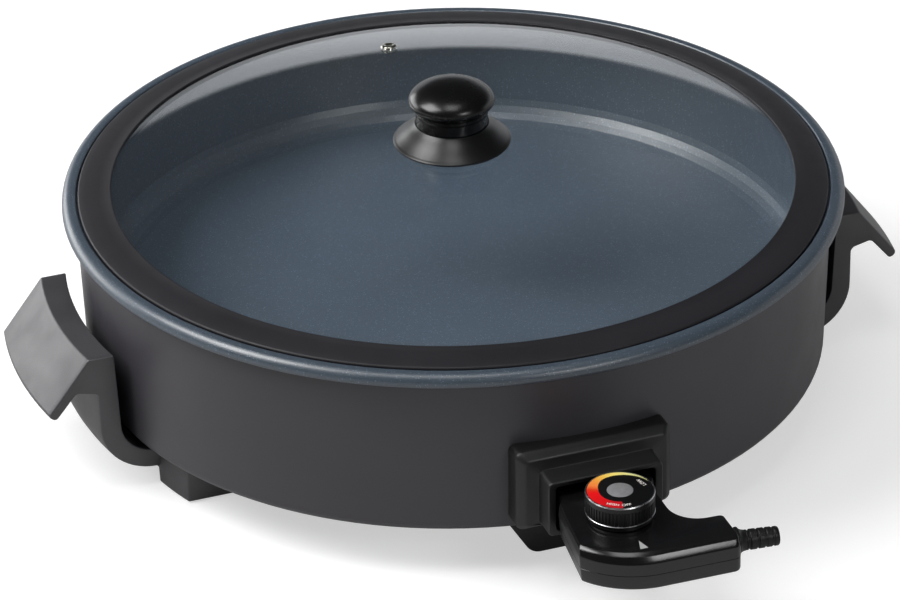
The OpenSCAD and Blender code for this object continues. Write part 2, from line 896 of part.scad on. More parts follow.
// Silicone ring with a slot for the glass, a flat sole and a lip inside the pan
module lid_ring() {
    edge_z = glass_height(glass_edge_r);
    lip_in = ring_in_r + ring_heel;
    lip_out = pan_in_r - lid_gap - 0.3;
    sole_z = ledge_z - ring_sole_drop;
    seat_z = glass_under(lip_in) - cast_gap;
    color([0.16, 0.16, 0.18])
        rotate_extrude()
            polygon(concat(
                [[lip_in, seat_z], [lip_in, seat_z - 2.2], [lip_out, sole_z], [lip_out, ledge_z],
                    [ring_out_r, ledge_z]],
                arc(ring_out_r - ring_edge_r, ledge_z + ring_edge_h - ring_edge_r, ring_edge_r, 0, 90, 4),
                [[ring_in_r + 0.4, ring_top_z], [ring_in_r, ring_top_z - 0.3],
                    [ring_in_r, glass_height(ring_in_r)], [glass_edge_r, edge_z],
                    [glass_edge_r, glass_under(glass_edge_r) - cast_gap]]
            ));
}

module knob_skirt() {
    r = skirt_d / 2;
    hole_r = knob_screw_d / 2 + screw_hole_gap;
    seat_z = glass_top_z + washer_t;
    color([0.06, 0.06, 0.06])
        rotate_extrude()
            polygon([
                [hole_r, seat_z], [skirt_hub_r, seat_z], [skirt_hub_r, neck_z - skirt_t],
                [neck_d / 2 - 1, neck_z - skirt_t], [r - skirt_lip, skirt_z + 1], [r - skirt_lip, skirt_z],
                [r - 0.3, skirt_z], [r, skirt_z + 0.4], [r, skirt_z + 1.1],
                [neck_d / 2 + 0.4, neck_z], [hole_r, neck_z]
            ]);
}

module knob() {
    neck_r = neck_d / 2;
    turns = 20;
    color([0.03, 0.03, 0.03])
        difference() {
            rotate_extrude()
                polygon(concat(
                    [[0, neck_z], [neck_r - 0.6, neck_z], [neck_r, neck_z + 0.6]],
                    [for (d = groove_drops, i = [-1 : 1])
                        [neck_r - (i == 0 ? knob_groove : 0), head_z - d + i * groove_w / 2]],
                    [for (i = [-turns : turns])
                        let (a = 90 * i / turns)
                            [knob_d / 2 - (i < 0 ? head_lip * (1 - cos(a)) : knob_d / 2 * (1 - cos(a))),
                                head_z + head_lip + (i < 0 ? head_lip : head_h - head_lip) * sin(a)]]
                ));
            translate([0, 0, neck_z - 1])
                cylinder(r = insert_r + cast_gap, h = neck_h + 2);
        }
}

module knob_insert() {
    color([0.72, 0.56, 0.28])
        translate([0, 0, neck_z])
            difference() {
                cylinder(r = insert_r, h = neck_h + 1);
                translate([0, 0, -1])
                    cylinder(r = knob_screw_d / 2 + cast_gap, h = neck_h + 3);
            }
}

module knob_screw() {
    bolt_head_h = 3;
    base_z = under_washer_z - bolt_head_h;
    color("silver")
        translate([0, 0, base_z]) {
            cylinder(r = knob_screw_d, h = bolt_head_h);
            cylinder(r = knob_screw_d / 2, h = head_z - 1 - base_z);
        }
}

// A silicone washer on each side of the glass
module knob_washer() {
    color([0.85, 0.84, 0.80])
        for (z = [under_washer_z, glass_top_z])
            translate([0, 0, z])
                difference() {
                    cylinder(r = washer_r, h = washer_t);
                    translate([0, 0, -1])
                        cylinder(r = knob_screw_d / 2 + screw_hole_gap, h = washer_t + 2);
                }
}

// ---- Heat control ----

// Corner p between q and s of a counter-clockwise outline, moved in by d with its radius
function inset_corner(q, p, s, d) =
    let (
        u = unit([p[0] - q[0], p[1] - q[1]]),
        v = unit([s[0] - p[0], s[1] - p[1]]),
        m = [-u[1] - v[1], u[0] + v[0]],
        shift = 2 * d / (m * m),
        r = cross2(u, v) > 0 ? max(p[2] - d, 0.3) : p[2] + d
    )
    [p[0] + m[0] * shift, p[1] + m[1] * shift, r];

function inset_outline(corners, d) =
    let (n = len(corners))
    [for (i = [0 : n - 1]) inset_corner(corners[(i + n - 1) % n], corners[i], corners[(i + 1) % n], d)];

// Plan of the control's case: nose, waist, arm on the right, bowed front and wider left cheek
case_plan = [
    [nose_w / 2, -nose_back, 1.2],
    [-nose_w / 2, -nose_back, 1.2],
    [-nose_w / 2, -collar_front - 3.5, 2],
    [-nose_w / 2 - cheek_w, -collar_front - 9.5, 2],
    [-nose_w / 2 - cheek_w - cheek_flare, -control_front + cheek_front, 1.8],
    [-nose_w / 2 + 5.4, -control_front + 1.2, 40],
    [arm_reach, -control_front, 3.5],
    [arm_reach, -control_front + arm_depth - 1, 3.5],
    [nose_w / 2 - waist_in, -control_front + arm_depth, 13],
    [nose_w / 2 - waist_in, -collar_front - 8, 8],
    [nose_w / 2, -collar_front - 2, 5]
];

module case_slab(inset, from, to) {
    translate([0, 0, from])
        linear_extrude(to - from)
            polygon(rounded(inset_outline(case_plan, inset)));
}

// The nose's back wall has a hole for each pin and one for the probe
module nose_holes() {
    for (side = [-1, 1])
        rod(side * pin_x, socket_z, pin_r + 0.7, nose_back - 1, carrier_back + 1);
    rod(0, socket_z, probe_d / 2 + 0.6, nose_back - 1, carrier_back + 1);
}

module boot_axis() {
    translate([boot_x, boot_y, boot_z])
        rotate([0, 0, boot_turn])
            rotate([0, 90, 0])
                children();
}

module boot_hole() {
    boot_axis()
        translate([0, 0, -boot_bore_in])
            cylinder(r = boot_r + cast_gap, h = boot_bore_in + boot_bore_out);
}

module control_top() {
    color([0.04, 0.04, 0.04])
        difference() {
            union() {
                difference() {
                    union() {
                        case_slab(0, seam_z, case_top_z - case_edge);
                        case_slab(0.6, case_top_z - case_edge - eps, case_top_z - case_edge / 2);
                        case_slab(1.8, case_top_z - case_edge / 2 - eps, case_top_z);
                    }
                    case_slab(case_t, seam_z - 1, case_top_z - case_t);
                }
                for (p = case_screws)
                    translate([p[0], p[1], seam_z])
                        cylinder(r = case_boss_r, h = case_top_z - case_t - seam_z + eps);
            }
            nose_holes();
            for (p = case_screws)
                translate([p[0], p[1], seam_z - 1])
                    cylinder(r = case_screw_r + cast_gap, h = case_screw_bite + 3);
            translate([dial_x, dial_y, case_top_z - 2 * case_t])
                cylinder(r = spindle_d / 2 + plug_gap, h = 3 * case_t);
            boot_hole();
            translate([0, 0, case_top_z - inlay_t])
                pointer_shape(1);
        }
}

module control_bottom() {
    color([0.04, 0.04, 0.04])
        difference() {
            union() {
                difference() {
                    union() {
                        case_slab(1.2, case_base_z, case_base_z + 1.2);
                        case_slab(0, case_base_z + 1.2 - eps, seam_z);
                    }
                    case_slab(case_t, case_floor_z, seam_z + 1);
                }
                for (p = case_screws)
                    translate([p[0], p[1], case_floor_z - eps])
                        cylinder(r = case_boss_r, h = seam_h - case_t + eps);
            }
            nose_holes();
            for (p = case_screws)
                translate([p[0], p[1], case_base_z - 1]) {
                    cylinder(r = screw_r, h = seam_h + 2);
                    cylinder(r = case_screw_head_r + 0.2, h = 3);
                }
            boot_hole();
        }
}

module control_screws() {
    color("silver")
        for (p = case_screws)
            translate([p[0], p[1], case_base_z + 0.2]) {
                cylinder(r = case_screw_head_r, h = 1.8);
                cylinder(r = case_screw_r, h = seam_h + case_screw_bite);
            }
}

// Heat-proof block that carries the receptacles and the probe in the nose
module contact_carrier() {
    w = nose_w - 2 * case_t - 2 * plug_gap;
    color([0.62, 0.50, 0.36])
        difference() {
            translate([-w / 2, -carrier_front, case_floor_z])
                cube([w, carrier_len, control_h - 2 * case_t]);
            for (side = [-1, 1])
                rod(side * pin_x, socket_z, receptacle_r + cast_gap, carrier_back - 1, carrier_front + 1);
            rod(0, socket_z, probe_d / 2 + cast_gap, carrier_back - 1, carrier_front + 1);
            rod(0, socket_z, probe_collar_r, carrier_front - probe_collar_t, carrier_front + 1);
        }
}

module receptacle(side) {
    tab = [5, 8, 2];
    color([0.78, 0.62, 0.32])
        difference() {
            union() {
                rod(side * pin_x, socket_z, receptacle_r, carrier_back, carrier_front);
                translate([side * pin_x - tab[0] / 2, 1 - carrier_front - tab[1], socket_z - tab[2] / 2])
                    cube(tab);
            }
            rod(side * pin_x, socket_z, pin_r + plug_gap, carrier_back - 1, carrier_front - 1);
        }
}

module probe_rod() {
    round_at = collar_front - probe_len + probe_d / 2;
    color([0.72, 0.72, 0.70])
        union() {
            rod(0, socket_z, probe_d / 2, round_at, carrier_front);
            translate([0, -round_at, socket_z])
                sphere(r = probe_d / 2);
            rod(0, socket_z, probe_collar_r - cast_gap, carrier_front - probe_collar_t, carrier_front + 1);
        }
}

module thermostat_frame() {
    color([0.80, 0.78, 0.72])
        difference() {
            translate([dial_x - thermostat_w / 2 - 1, dial_y - thermostat_depth / 2, case_floor_z])
                cube([thermostat_w, thermostat_depth, thermostat_h]);
            translate([dial_x, dial_y, case_floor_z + 1])
                cylinder(r = cam_pin_r + plug_gap, h = thermostat_h);
        }
}

// A blade with a round contact button at its tip, standing on the thermostat's frame
module contact_blade(x, side) {
    blade_w = thermostat_depth - 2;
    foot_z = case_floor_z + thermostat_h;
    translate([x, dial_y - blade_w / 2, foot_z])
        cube([blade_t, blade_w, blade_h]);
    translate([x + blade_t / 2, dial_y + blade_w / 2 - 3, foot_z + blade_h - 1.6])
        rotate([0, side * 90, 0])
            cylinder(r = button_r, h = button_t);
}

module fixed_contact() {
    color([0.78, 0.62, 0.32])
        contact_blade(dial_x - 11.5, 1);
}

module moving_contact() {
    color([0.78, 0.62, 0.32])
        contact_blade(dial_x - 8, -1);
}

// Ribbed boot round the cord's exit, with a flange on each side of the wall
module cord_boot() {
    ribs = 4;
    pitch = (boot_len - 4) / ribs;
    flange_z = -case_t - 3;
    color([0.05, 0.05, 0.05])
        boot_axis()
            difference() {
                union() {
                    translate([0, 0, flange_z])
                        cylinder(r = boot_r + 1.6, h = 2);
                    translate([0, 0, flange_z])
                        cylinder(r = boot_r, h = boot_len - flange_z);
                    translate([0, 0, boot_lip_z])
                        cylinder(r1 = boot_lip_r, r2 = boot_lip_r - 1, h = 2.4);
                    for (i = [1 : ribs])
                        translate([0, 0, i * pitch + 0.4])
                            cylinder(r = boot_r + 0.5 - i * 0.05, h = 3);
                }
                translate([0, 0, -10])
                    cylinder(r = cord_bore_d / 2, h = boot_len + 20);
            }
}

module cord_clamp() {
    color("silver")
        difference() {
            translate([boot_x - 20.5, boot_y - 5.5, case_floor_z])
                cube([5, 13, boot_z - case_floor_z + 1]);
            boot_axis()
                translate([0, 0, -24])
                    cylinder(r = cord_bore_d / 2, h = 20);
        }
}

module pointer_shape(h) {
    translate([dial_x, dial_y - dial_r - pointer_out, 0])
        linear_extrude(h)
            polygon([[-pointer_w / 2, 0], [pointer_w / 2, 0], [0, pointer_len]]);
}

module pointer_inlay() {
    color([0.6, 0.6, 0.6])
        translate([0, 0, case_top_z - inlay_t])
            pointer_shape(inlay_t + 0.05);
}

// ---- Dial ----

module at_dial(z) {
    translate([dial_x, dial_y, z])
        children();
}

module dial_knob() {
    foot_r = dial_r - 0.9;
    rib_z = collet_h + trim_h;
    rib_top = dial_h - trim_h;
    color([0.05, 0.05, 0.05])
        at_dial(dial_z)
            difference() {
                union() {
                    cylinder(r = foot_r, h = collet_h);
                    cylinder(r = core_r, h = rib_top);
                    translate([0, 0, rib_z])
                        linear_extrude(rib_top - rib_z)
                            polygon([for (i = [0 : 2 * dial_ribs - 1])
                                let (r = dial_r - (i % 2) * rib_d, a = i * 180 / dial_ribs)
                                [r * cos(a), r * sin(a)]]);
                }
                translate([0, 0, -1])
                    cylinder(r = spindle_d / 2 + cast_gap, h = dial_h - 3);
                translate([0, 0, rib_top - plate_drop])
                    cylinder(r = face_r, h = 2);
            }
}

module dial_plate() {
    color([0.02, 0.02, 0.02])
        at_dial(dial_top_z - trim_h - plate_drop)
            cylinder(r = face_r, h = trim_h + plate_drop - 0.1);
}

module dial_disc() {
    color([0.62, 0.62, 0.62])
        at_dial(dial_top_z - 0.1)
            cylinder(r = dial_disc_d / 2, h = 0.3);
}

module dial_trim(z, in_r, out_r, top_r) {
    color([0.80, 0.80, 0.80])
        at_dial(z)
            difference() {
                cylinder(r1 = out_r, r2 = top_r, h = trim_h);
                translate([0, 0, -1])
                    cylinder(r = in_r, h = trim_h + 2);
            }
}

module dial_upper_trim() {
    dial_trim(dial_top_z - trim_h, face_r + cast_gap, dial_r, face_r + 0.3);
}

module dial_lower_trim() {
    dial_trim(dial_z + collet_h, core_r + cast_gap, dial_r + 0.1, dial_r + 0.1);
}

module dial_spindle() {
    cam_z = case_floor_z + thermostat_h + plug_gap;
    color([0.70, 0.70, 0.68])
        union() {
            at_dial(cam_z)
                cylinder(r = spindle_d / 2, h = dial_top_z - 4 - cam_z);
            at_dial(cam_z)
                intersection() {
                    cylinder(r = cam_r, h = cam_h);
                    translate([-cam_r, 3 - cam_r, 0])
                        cube([2 * cam_r, 10, cam_h]);
                }
            at_dial(cam_z - 3)
                cylinder(r = cam_pin_r, h = 3 + eps);
        }
}

at_axis() pan();
at_axis() heater_casting();
at_axis() heating_element();
at_axis() terminal_pin(-1);  // terminal_pin_left
at_axis() terminal_pin(1);  // terminal_pin_right
at_axis() terminal_insulators();
at_axis() probe_sleeve();
at_axis() outer_shell();
at_axis() base_plate();
at_axis() socket_shroud();
at_axis() shroud_screws();
at_axis() front_foot();
at_axis() front_foot_screw();
at_axis() front_foot_pad();
at_axis() left_handle();
at_axis() right_handle();
at_axis() handle_screws(180);  // left_handle_screws
at_axis() handle_screws(0);  // right_handle_screws
at_axis() rubber_pads(180);  // left_foot_pads
at_axis() rubber_pads(0);  // right_foot_pads
at_axis() lid_glass();
at_axis() lid_ring();
at_axis() vent_grommet();
at_axis() knob();
at_axis() knob_skirt();
at_axis() knob_insert();
at_axis() knob_screw();
at_axis() knob_washer();
at_axis() control_top();
at_axis() control_bottom();
at_axis() contact_carrier();
at_axis() receptacle(-1);  // left_receptacle
at_axis() receptacle(1);  // right_receptacle
at_axis() probe_rod();
at_axis() thermostat_frame();
at_axis() fixed_contact();
at_axis() moving_contact();
at_axis() cord_boot();
at_axis() cord_clamp();
at_axis() control_screws();
at_axis() pointer_inlay();
at_axis() dial_knob();
at_axis() dial_plate();
at_axis() dial_disc();
at_axis() dial_upper_trim();
at_axis() dial_lower_trim();
at_axis() dial_spindle();
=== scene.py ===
"""Looks for a round electric skillet: glass lid, cast pan in a painted shell, plug-in heat control."""
import math

import bmesh
import bpy
from mathutils import Matrix, Vector


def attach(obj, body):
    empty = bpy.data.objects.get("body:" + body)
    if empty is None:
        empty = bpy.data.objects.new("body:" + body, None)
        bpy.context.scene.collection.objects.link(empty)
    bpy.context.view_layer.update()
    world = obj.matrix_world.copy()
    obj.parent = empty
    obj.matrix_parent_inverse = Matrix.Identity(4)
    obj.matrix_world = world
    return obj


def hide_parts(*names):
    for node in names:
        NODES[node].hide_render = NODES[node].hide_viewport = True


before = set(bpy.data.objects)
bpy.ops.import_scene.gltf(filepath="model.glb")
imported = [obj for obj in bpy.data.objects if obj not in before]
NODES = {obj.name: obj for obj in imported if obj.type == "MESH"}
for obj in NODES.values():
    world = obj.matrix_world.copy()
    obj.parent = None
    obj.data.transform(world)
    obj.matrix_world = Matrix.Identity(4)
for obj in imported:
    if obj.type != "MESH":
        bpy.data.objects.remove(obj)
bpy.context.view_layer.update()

MM = 0.001
AXIS_Y = 38.7       # the pan's axis, in mm, in the row frame

# Segments of turned pieces: round the pan, round the dial, round the knob and round small holes
ROUND, FINE, SMALL, TINY = 256, 128, 96, 48
BOOT_SIDES, ROD_SIDES = 64, 40
WELD = 1e-7         # in m

# Sizes that repeat the CAD's, in mm, measured from the pan's axis
RIM_BASE, LEDGE_Z = 106.1, 110.0
SHELL_R, SHELL_FOOT_R = 183.7, 181.6
RING_OUT_R, RING_IN_R, RING_TOP, GLASS_TOP = 182.2, 165.8, 115.0, 133.5
GLASS_T, GLASS_EDGE_R = 4.0, 172.0
SOCKET_Z = 48.0
CASE_BASE, CASE_TOP, SEAM = 37.8, 55.8, 45.3
DIAL_X, DIAL_Y, DIAL_Z, DIAL_H = -3.5, -230.0, 56.1, 13.0


# ---------------------------------------------------------------- meshes

def arc(cx, cz, r, a0, a1, n):
    """Points along an arc, in degrees."""
    return [(cx + r * math.cos(math.radians(a0 + (a1 - a0) * i / n)),
             cz + r * math.sin(math.radians(a0 + (a1 - a0) * i / n))) for i in range(n + 1)]


def spaced(a, b, n):
    """Values at n equal steps from a to b."""
    return [a + (b - a) * i / n for i in range(n + 1)]


def fillet(p, u, v, r):
    """The arc that rounds a corner p between the ways u and v: centre, start and turn in degrees."""
    half = math.acos(max(-1, min(1, u.dot(v)))) / 2
    c = p + (u + v).normalized() * (r / math.sin(half))
    a = p + u * (r / math.tan(half)) - c
    b = p + v * (r / math.tan(half)) - c
    turn = math.degrees(math.atan2(a.x * b.y - a.y * b.x, a.dot(b)))
    return c, math.degrees(math.atan2(a.y, a.x)), turn


def rounded(corners):
    """A closed outline through corners (x, y, radius), with a point every 8 degrees of an arc."""
    out = []
    n = len(corners)
    for i, (x, y, r) in enumerate(corners):
        if r <= 0:
            out.append((x, y))
            continue
        p = Vector((x, y))
        u = (Vector(corners[i - 1][:2]) - p).normalized()
        v = (Vector(corners[(i + 1) % n][:2]) - p).normalized()
        c, start, turn = fillet(p, u, v, r)
        out += arc(c.x, c.y, r, start, start + turn, max(2, math.ceil(abs(turn) / 8.0)))
    return out


def outward(me):
    """Clean the mesh and turn every face outwards."""
    bm = bmesh.new()
    bm.from_mesh(me)
    bmesh.ops.remove_doubles(bm, verts=bm.verts, dist=WELD)
    bmesh.ops.recalc_face_normals(bm, faces=bm.faces)
    bm.to_mesh(me)
    bm.free()
    me.update()


def make(name, verts, faces, body, material, replaces=None, sharp=32.0):
    """A mesh object from points in mm about the pan's axis, riding on a body."""
    me = bpy.data.meshes.new(name)
    me.from_pydata([(x * MM, (y + AXIS_Y) * MM, z * MM) for x, y, z in verts], [], faces)
    outward(me)
    ob = bpy.data.objects.new(name, me)
    bpy.context.scene.collection.objects.link(ob)
    me.materials.append(material)
    me.shade_smooth()
    me.set_sharp_from_angle(angle=math.radians(sharp))
    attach(ob, body)
    for node in replaces or []:
        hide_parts(node)
    return ob


def lathe(profile, segments, closed=True, centre=(0.0, 0.0)):
    """Points and faces of a profile (radius, height) turned round an upright axis."""
    verts, faces = [], []
    rings = []
    for r, z in profile:
        if r < 1e-6:
            rings.append([len(verts)])
            verts.append((centre[0], centre[1], z))
            continue
        start = len(verts)
        for i in range(segments):
            a = 2 * math.pi * i / segments
            verts.append((centre[0] + r * math.cos(a), centre[1] + r * math.sin(a), z))
        rings.append(list(range(start, start + segments)))
    for lo, hi in zip(rings, rings[1:] + (rings[:1] if closed else [])):
        if len(lo) == 1 and len(hi) == 1:
            continue
        for i in range(segments):
            j = (i + 1) % segments
            if len(lo) == 1:
                faces.append((lo[0], hi[j], hi[i]))
            elif len(hi) == 1:
                faces.append((lo[i], lo[j], hi[0]))
            else:
                faces.append((lo[i], lo[j], hi[j], hi[i]))
    return verts, faces


def skin(loops, wrap=False):
    """Points and faces of a skin through closed loops that hold the same number of points.

    It has a cap at both ends, or it wraps: the last loop then joins the first.
    """
    verts, faces = [], []
    n, last = len(loops[0]), len(loops) - 1
    for loop in loops:
        verts += loop
    pairs = [(k, k + 1) for k in range(last)] + ([(last, 0)] if wrap else [])
    for a, b in pairs:
        for i in range(n):
            j = (i + 1) % n
            faces.append((a * n + i, a * n + j, b * n + j, b * n + i))
    if not wrap:
        faces.append(tuple(reversed(range(n))))
        faces.append(tuple(range(last * n, len(loops) * n)))
    return verts, faces


# ---------------------------------------------------------------- materials

def srgb(r, g, b):
    """A colour as a picture holds it (0 to 255), made linear."""
    return tuple((c / 255 / 12.92 if c / 255 <= 0.04045 else ((c / 255 + 0.055) / 1.055) ** 2.4)
                 for c in (r, g, b)) + (1.0,)


class Mat:
    """A small helper round one Principled material."""

    def __init__(self, name):
        self.mat = bpy.data.materials.new(name)
        self.mat.use_nodes = True
        self.nt = self.mat.node_tree
        self.p = self.nt.nodes["Principled BSDF"]
        self.out = self.nt.nodes["Material Output"]
        self.co = self.node("ShaderNodeTexCoord").outputs["Object"]

    def node(self, kind, **props):
        n = self.nt.nodes.new(kind)
        for k, v in props.items():
            setattr(n, k, v)
        return n

    def link(self, a, b):
        self.nt.links.new(a, b)

    def noise(self, scale, detail, stretch=None):
        n = self.node("ShaderNodeTexNoise")
        n.inputs["Scale"].default_value = scale
        n.inputs["Detail"].default_value = detail
        n.inputs["Roughness"].default_value = 0.55
        self.link(self.mapped(stretch), n.inputs["Vector"])
        return n.outputs["Fac"]

    def mapped(self, stretch):
        if stretch is None:
            return self.co
        m = self.node("ShaderNodeMapping")
        m.inputs["Scale"].default_value = stretch
        self.link(self.co, m.inputs["Vector"])
        return m.outputs["Vector"]

    def specks(self, scale, radius, above):
        """Dots in a share of the cells: those whose random colour lies above a value."""
        n = self.node("ShaderNodeTexVoronoi")
        n.inputs["Scale"].default_value = scale
        self.link(self.co, n.inputs["Vector"])
        inside = self.math("LESS_THAN", n.outputs["Distance"], radius)
        sep = self.node("ShaderNodeSeparateColor")
        self.link(n.outputs["Color"], sep.inputs[0])
        return self.math("MULTIPLY", inside, self.math("GREATER_THAN", sep.outputs[0], above))

    def ramp(self, fac, stops):
        n = self.node("ShaderNodeValToRGB")
        els = n.color_ramp.elements
        while len(els) < len(stops):
            els.new(0.5)
        for e, (pos, col) in zip(els, stops):
            e.position = pos
            e.color = col
        self.link(fac, n.inputs["Fac"])
        return n.outputs["Color"]

    def remap(self, fac, lo, hi, a, b):
        n = self.node("ShaderNodeMapRange")
        n.inputs["From Min"].default_value = lo
        n.inputs["From Max"].default_value = hi
        n.inputs["To Min"].default_value = a
        n.inputs["To Max"].default_value = b
        self.link(fac, n.inputs["Value"])
        return n.outputs["Result"]

    def mix(self, fac, a, b):
        n = self.node("ShaderNodeMix", data_type="RGBA")
        for sock, val in ((n.inputs["Factor"], fac), (n.inputs["A"], a), (n.inputs["B"], b)):
            if isinstance(val, (int, float, tuple)):
                sock.default_value = val
            else:
                self.link(val, sock)
        return n.outputs["Result"]

    def math(self, op, a, b=0.0):
        n = self.node("ShaderNodeMath", operation=op)
        for sock, val in ((n.inputs[0], a), (n.inputs[1], b)):
            if isinstance(val, (int, float)):
                sock.default_value = val
            else:
                self.link(val, sock)
        return n.outputs[0]

    def bump(self, height, strength, distance):
        n = self.node("ShaderNodeBump")
        n.inputs["Strength"].default_value = strength
        n.inputs["Distance"].default_value = distance
        self.link(height, n.inputs["Height"])
        self.link(n.outputs["Normal"], self.p.inputs["Normal"])

    def set(self, **values):
        names = {"rough": "Roughness", "metal": "Metallic", "ior": "IOR",
                 "spec": "Specular IOR Level", "trans": "Transmission Weight"}
        for k, v in values.items():
            self.p.inputs[names[k]].default_value = v


def plastic(name, colour, rough, grain=0.35, grain_scale=900.0, spread=0.12, spec=0.5):
    """Moulded plastic: slight tone drift, a fine spark-eroded grain and worn-in gloss patches."""
    m = Mat(name)
    c = srgb(*colour)
    drift = m.noise(14.0, 2.0)
    dark = tuple(v * (1 - spread) for v in c[:3]) + (1.0,)
    light = tuple(min(1, v * (1 + spread)) for v in c[:3]) + (1.0,)
    m.link(m.ramp(drift, [(0.3, dark), (0.7, light)]), m.p.inputs["Base Color"])
    patch = m.noise(60.0, 4.0)
    m.link(m.remap(patch, 0.3, 0.7, rough * 0.9, rough * 1.12), m.p.inputs["Roughness"])
    fine = m.noise(grain_scale, 2.0)
    m.bump(fine, grain, 0.00012)
    m.set(spec=spec)
    return m.mat


def metal(name, colour, rough, stretch=(1, 1, 1), scale=500.0, metallic=1.0):
    """Bare metal: a fine grain, drawn out along the way it was brushed or rolled."""
    m = Mat(name)
    c = srgb(*colour)
    fine = m.noise(scale, 3.0, stretch=stretch)
    dark = tuple(v * 0.86 for v in c[:3]) + (1.0,)
    m.link(m.ramp(fine, [(0.35, dark), (0.65, c)]), m.p.inputs["Base Color"])
    m.link(m.remap(fine, 0.3, 0.7, rough * 0.8, rough * 1.25), m.p.inputs["Roughness"])
    m.bump(fine, 0.12, 0.0001)
    m.set(metal=metallic)
    return m.mat


def nonstick():
    """Blue-grey stone-effect coating: fine pale and dark flecks under a satin film."""
    m = Mat("nonstick_coat")
    base = m.ramp(m.noise(9.0, 3.0), [(0.3, srgb(57, 68, 79)), (0.7, srgb(63, 75, 87))])
    tone = m.mix(m.specks(900.0, 0.28, 0.62), base, srgb(98, 111, 125))
    tone = m.mix(m.specks(1150.0, 0.3, 0.6), tone, srgb(40, 49, 58))
    m.link(tone, m.p.inputs["Base Color"])
    m.link(m.remap(m.noise(40.0, 4.0), 0.3, 0.7, 0.33, 0.39), m.p.inputs["Roughness"])
    m.bump(m.noise(420.0, 3.0), 0.25, 0.00025)
    m.set(spec=1.0)
    return m.mat


def shell_paint():
    """Baked dark paint on the shell, with a slow drift of tone and gloss."""
    m = Mat("shell_paint")
    m.link(m.ramp(m.noise(5.0, 3.0), [(0.3, srgb(59, 57, 62)), (0.7, srgb(65, 63, 68))]),
           m.p.inputs["Base Color"])
    m.link(m.remap(m.noise(30.0, 5.0), 0.3, 0.7, 0.36, 0.44), m.p.inputs["Roughness"])
    m.bump(m.noise(260.0, 3.0), 0.10, 0.0002)
    return m.mat


def silicone(name, colour, rough):
    """Soft moulded rubber with paler worn patches."""
    m = Mat(name)
    m.set(spec=0.35)
    c = srgb(*colour)
    pale = tuple(v * 1.35 for v in c[:3]) + (1.0,)
    m.link(m.ramp(m.noise(18.0, 4.0), [(0.35, c), (0.75, pale)]), m.p.inputs["Base Color"])
    m.link(m.remap(m.noise(90.0, 3.0), 0.3, 0.7, rough * 0.92, rough * 1.08), m.p.inputs["Roughness"])
    m.bump(m.noise(700.0, 2.0), 0.15, 0.0001)
    return m.mat


def glass():
    """Clear tempered glass that lets the lamps through."""
    m = Mat("clear_glass")
    m.set(rough=0.0, ior=1.5, trans=1.0)
    m.p.inputs["Base Color"].default_value = (0.98, 0.99, 0.99, 1.0)
    clear = m.node("ShaderNodeBsdfTransparent")
    clear.inputs["Color"].default_value = (0.98, 0.985, 0.985, 1.0)
    lp = m.node("ShaderNodeLightPath")
    mixer = m.node("ShaderNodeMixShader")
    m.link(lp.outputs["Is Shadow Ray"], mixer.inputs[0])
    m.link(m.p.outputs[0], mixer.inputs[1])
    m.link(clear.outputs[0], mixer.inputs[2])
    m.link(mixer.outputs[0], m.out.inputs["Surface"])
    return m.mat


def heat_print():
    """Printed band whose colour runs round the dial from yellow over orange to red."""
    m = Mat("heat_print")
    xyz = m.node("ShaderNodeSeparateXYZ")
    m.link(m.co, xyz.inputs[0])
    x = m.math("SUBTRACT", xyz.outputs["X"], DIAL_X * MM)
    y = m.math("SUBTRACT", xyz.outputs["Y"], (DIAL_Y + AXIS_Y) * MM)
    turn = m.math("ARCTAN2", m.math("MULTIPLY", y, -1.0), m.math("MULTIPLY", x, -1.0))
    part = m.remap(turn, -math.pi, math.pi, 0.0, 1.0)
    grain = m.math("MULTIPLY", m.math("SUBTRACT", m.noise(500.0, 2.0), 0.5), 0.01)
    m.link(m.ramp(m.math("ADD", part, grain), [
        (0.033, srgb(190, 190, 120)), (0.14, srgb(222, 220, 148)), (0.222, srgb(243, 222, 118)),
        (0.29, srgb(240, 190, 80)), (0.347, srgb(240, 152, 60)), (0.394, srgb(245, 130, 60)),
        (0.44, srgb(220, 50, 16)), (0.478, srgb(232, 8, 14)), (0.583, srgb(215, 8, 18)),
        (0.70, srgb(190, 12, 30))]), m.p.inputs["Base Color"])
    m.set(rough=0.4)
    return m.mat


NONSTICK = nonstick()
SHELL = shell_paint()
GLASS = glass()
RING = silicone("lid_silicone", (29, 28, 32), 0.5)
WASHER = silicone("washer_silicone", (208, 206, 196), 0.45)
PAD = silicone("foot_rubber", (16, 16, 17), 0.7)
BOOT = silicone("boot_rubber", (16, 16, 17), 0.42)
HANDLE = plastic("handle_plastic", (46, 45, 49), 0.47, grain=0.4, grain_scale=1300.0, spec=1.0)
BLACK = plastic("black_plastic", (26, 26, 26), 0.42)
CASE = plastic("control_plastic", (15, 15, 16), 0.2, grain=0.06, grain_scale=700.0, spec=0.6)
KNOB = plastic("gloss_black", (7, 7, 8), 0.26, grain=0.05, grain_scale=300.0)
SKIRT = plastic("skirt_black", (14, 14, 15), 0.32, grain=0.08, grain_scale=500.0)
DIAL = plastic("dial_plastic", (18, 18, 19), 0.36, grain=0.2)
CARRIER = plastic("carrier_plastic", (150, 120, 84), 0.55)
CERAMIC = plastic("insulator_ceramic", (221, 214, 200), 0.6, spread=0.05)
POINTER = plastic("pointer_grey", (165, 165, 165), 0.5, spread=0.05)
STEEL = metal("bare_steel", (176, 176, 174), 0.42, stretch=(1, 12, 1))
CAST = metal("cast_aluminium", (154, 154, 151), 0.55, scale=160.0)
PLATE = metal("plate_steel", (150, 150, 148), 0.5, stretch=(1, 8, 1))
SHEATH = metal("sheath_steel", (119, 116, 111), 0.5)
PINS = metal("plated_pins", (215, 211, 200), 0.25)
SCREW = metal("screw_steel", (185, 185, 183), 0.35)
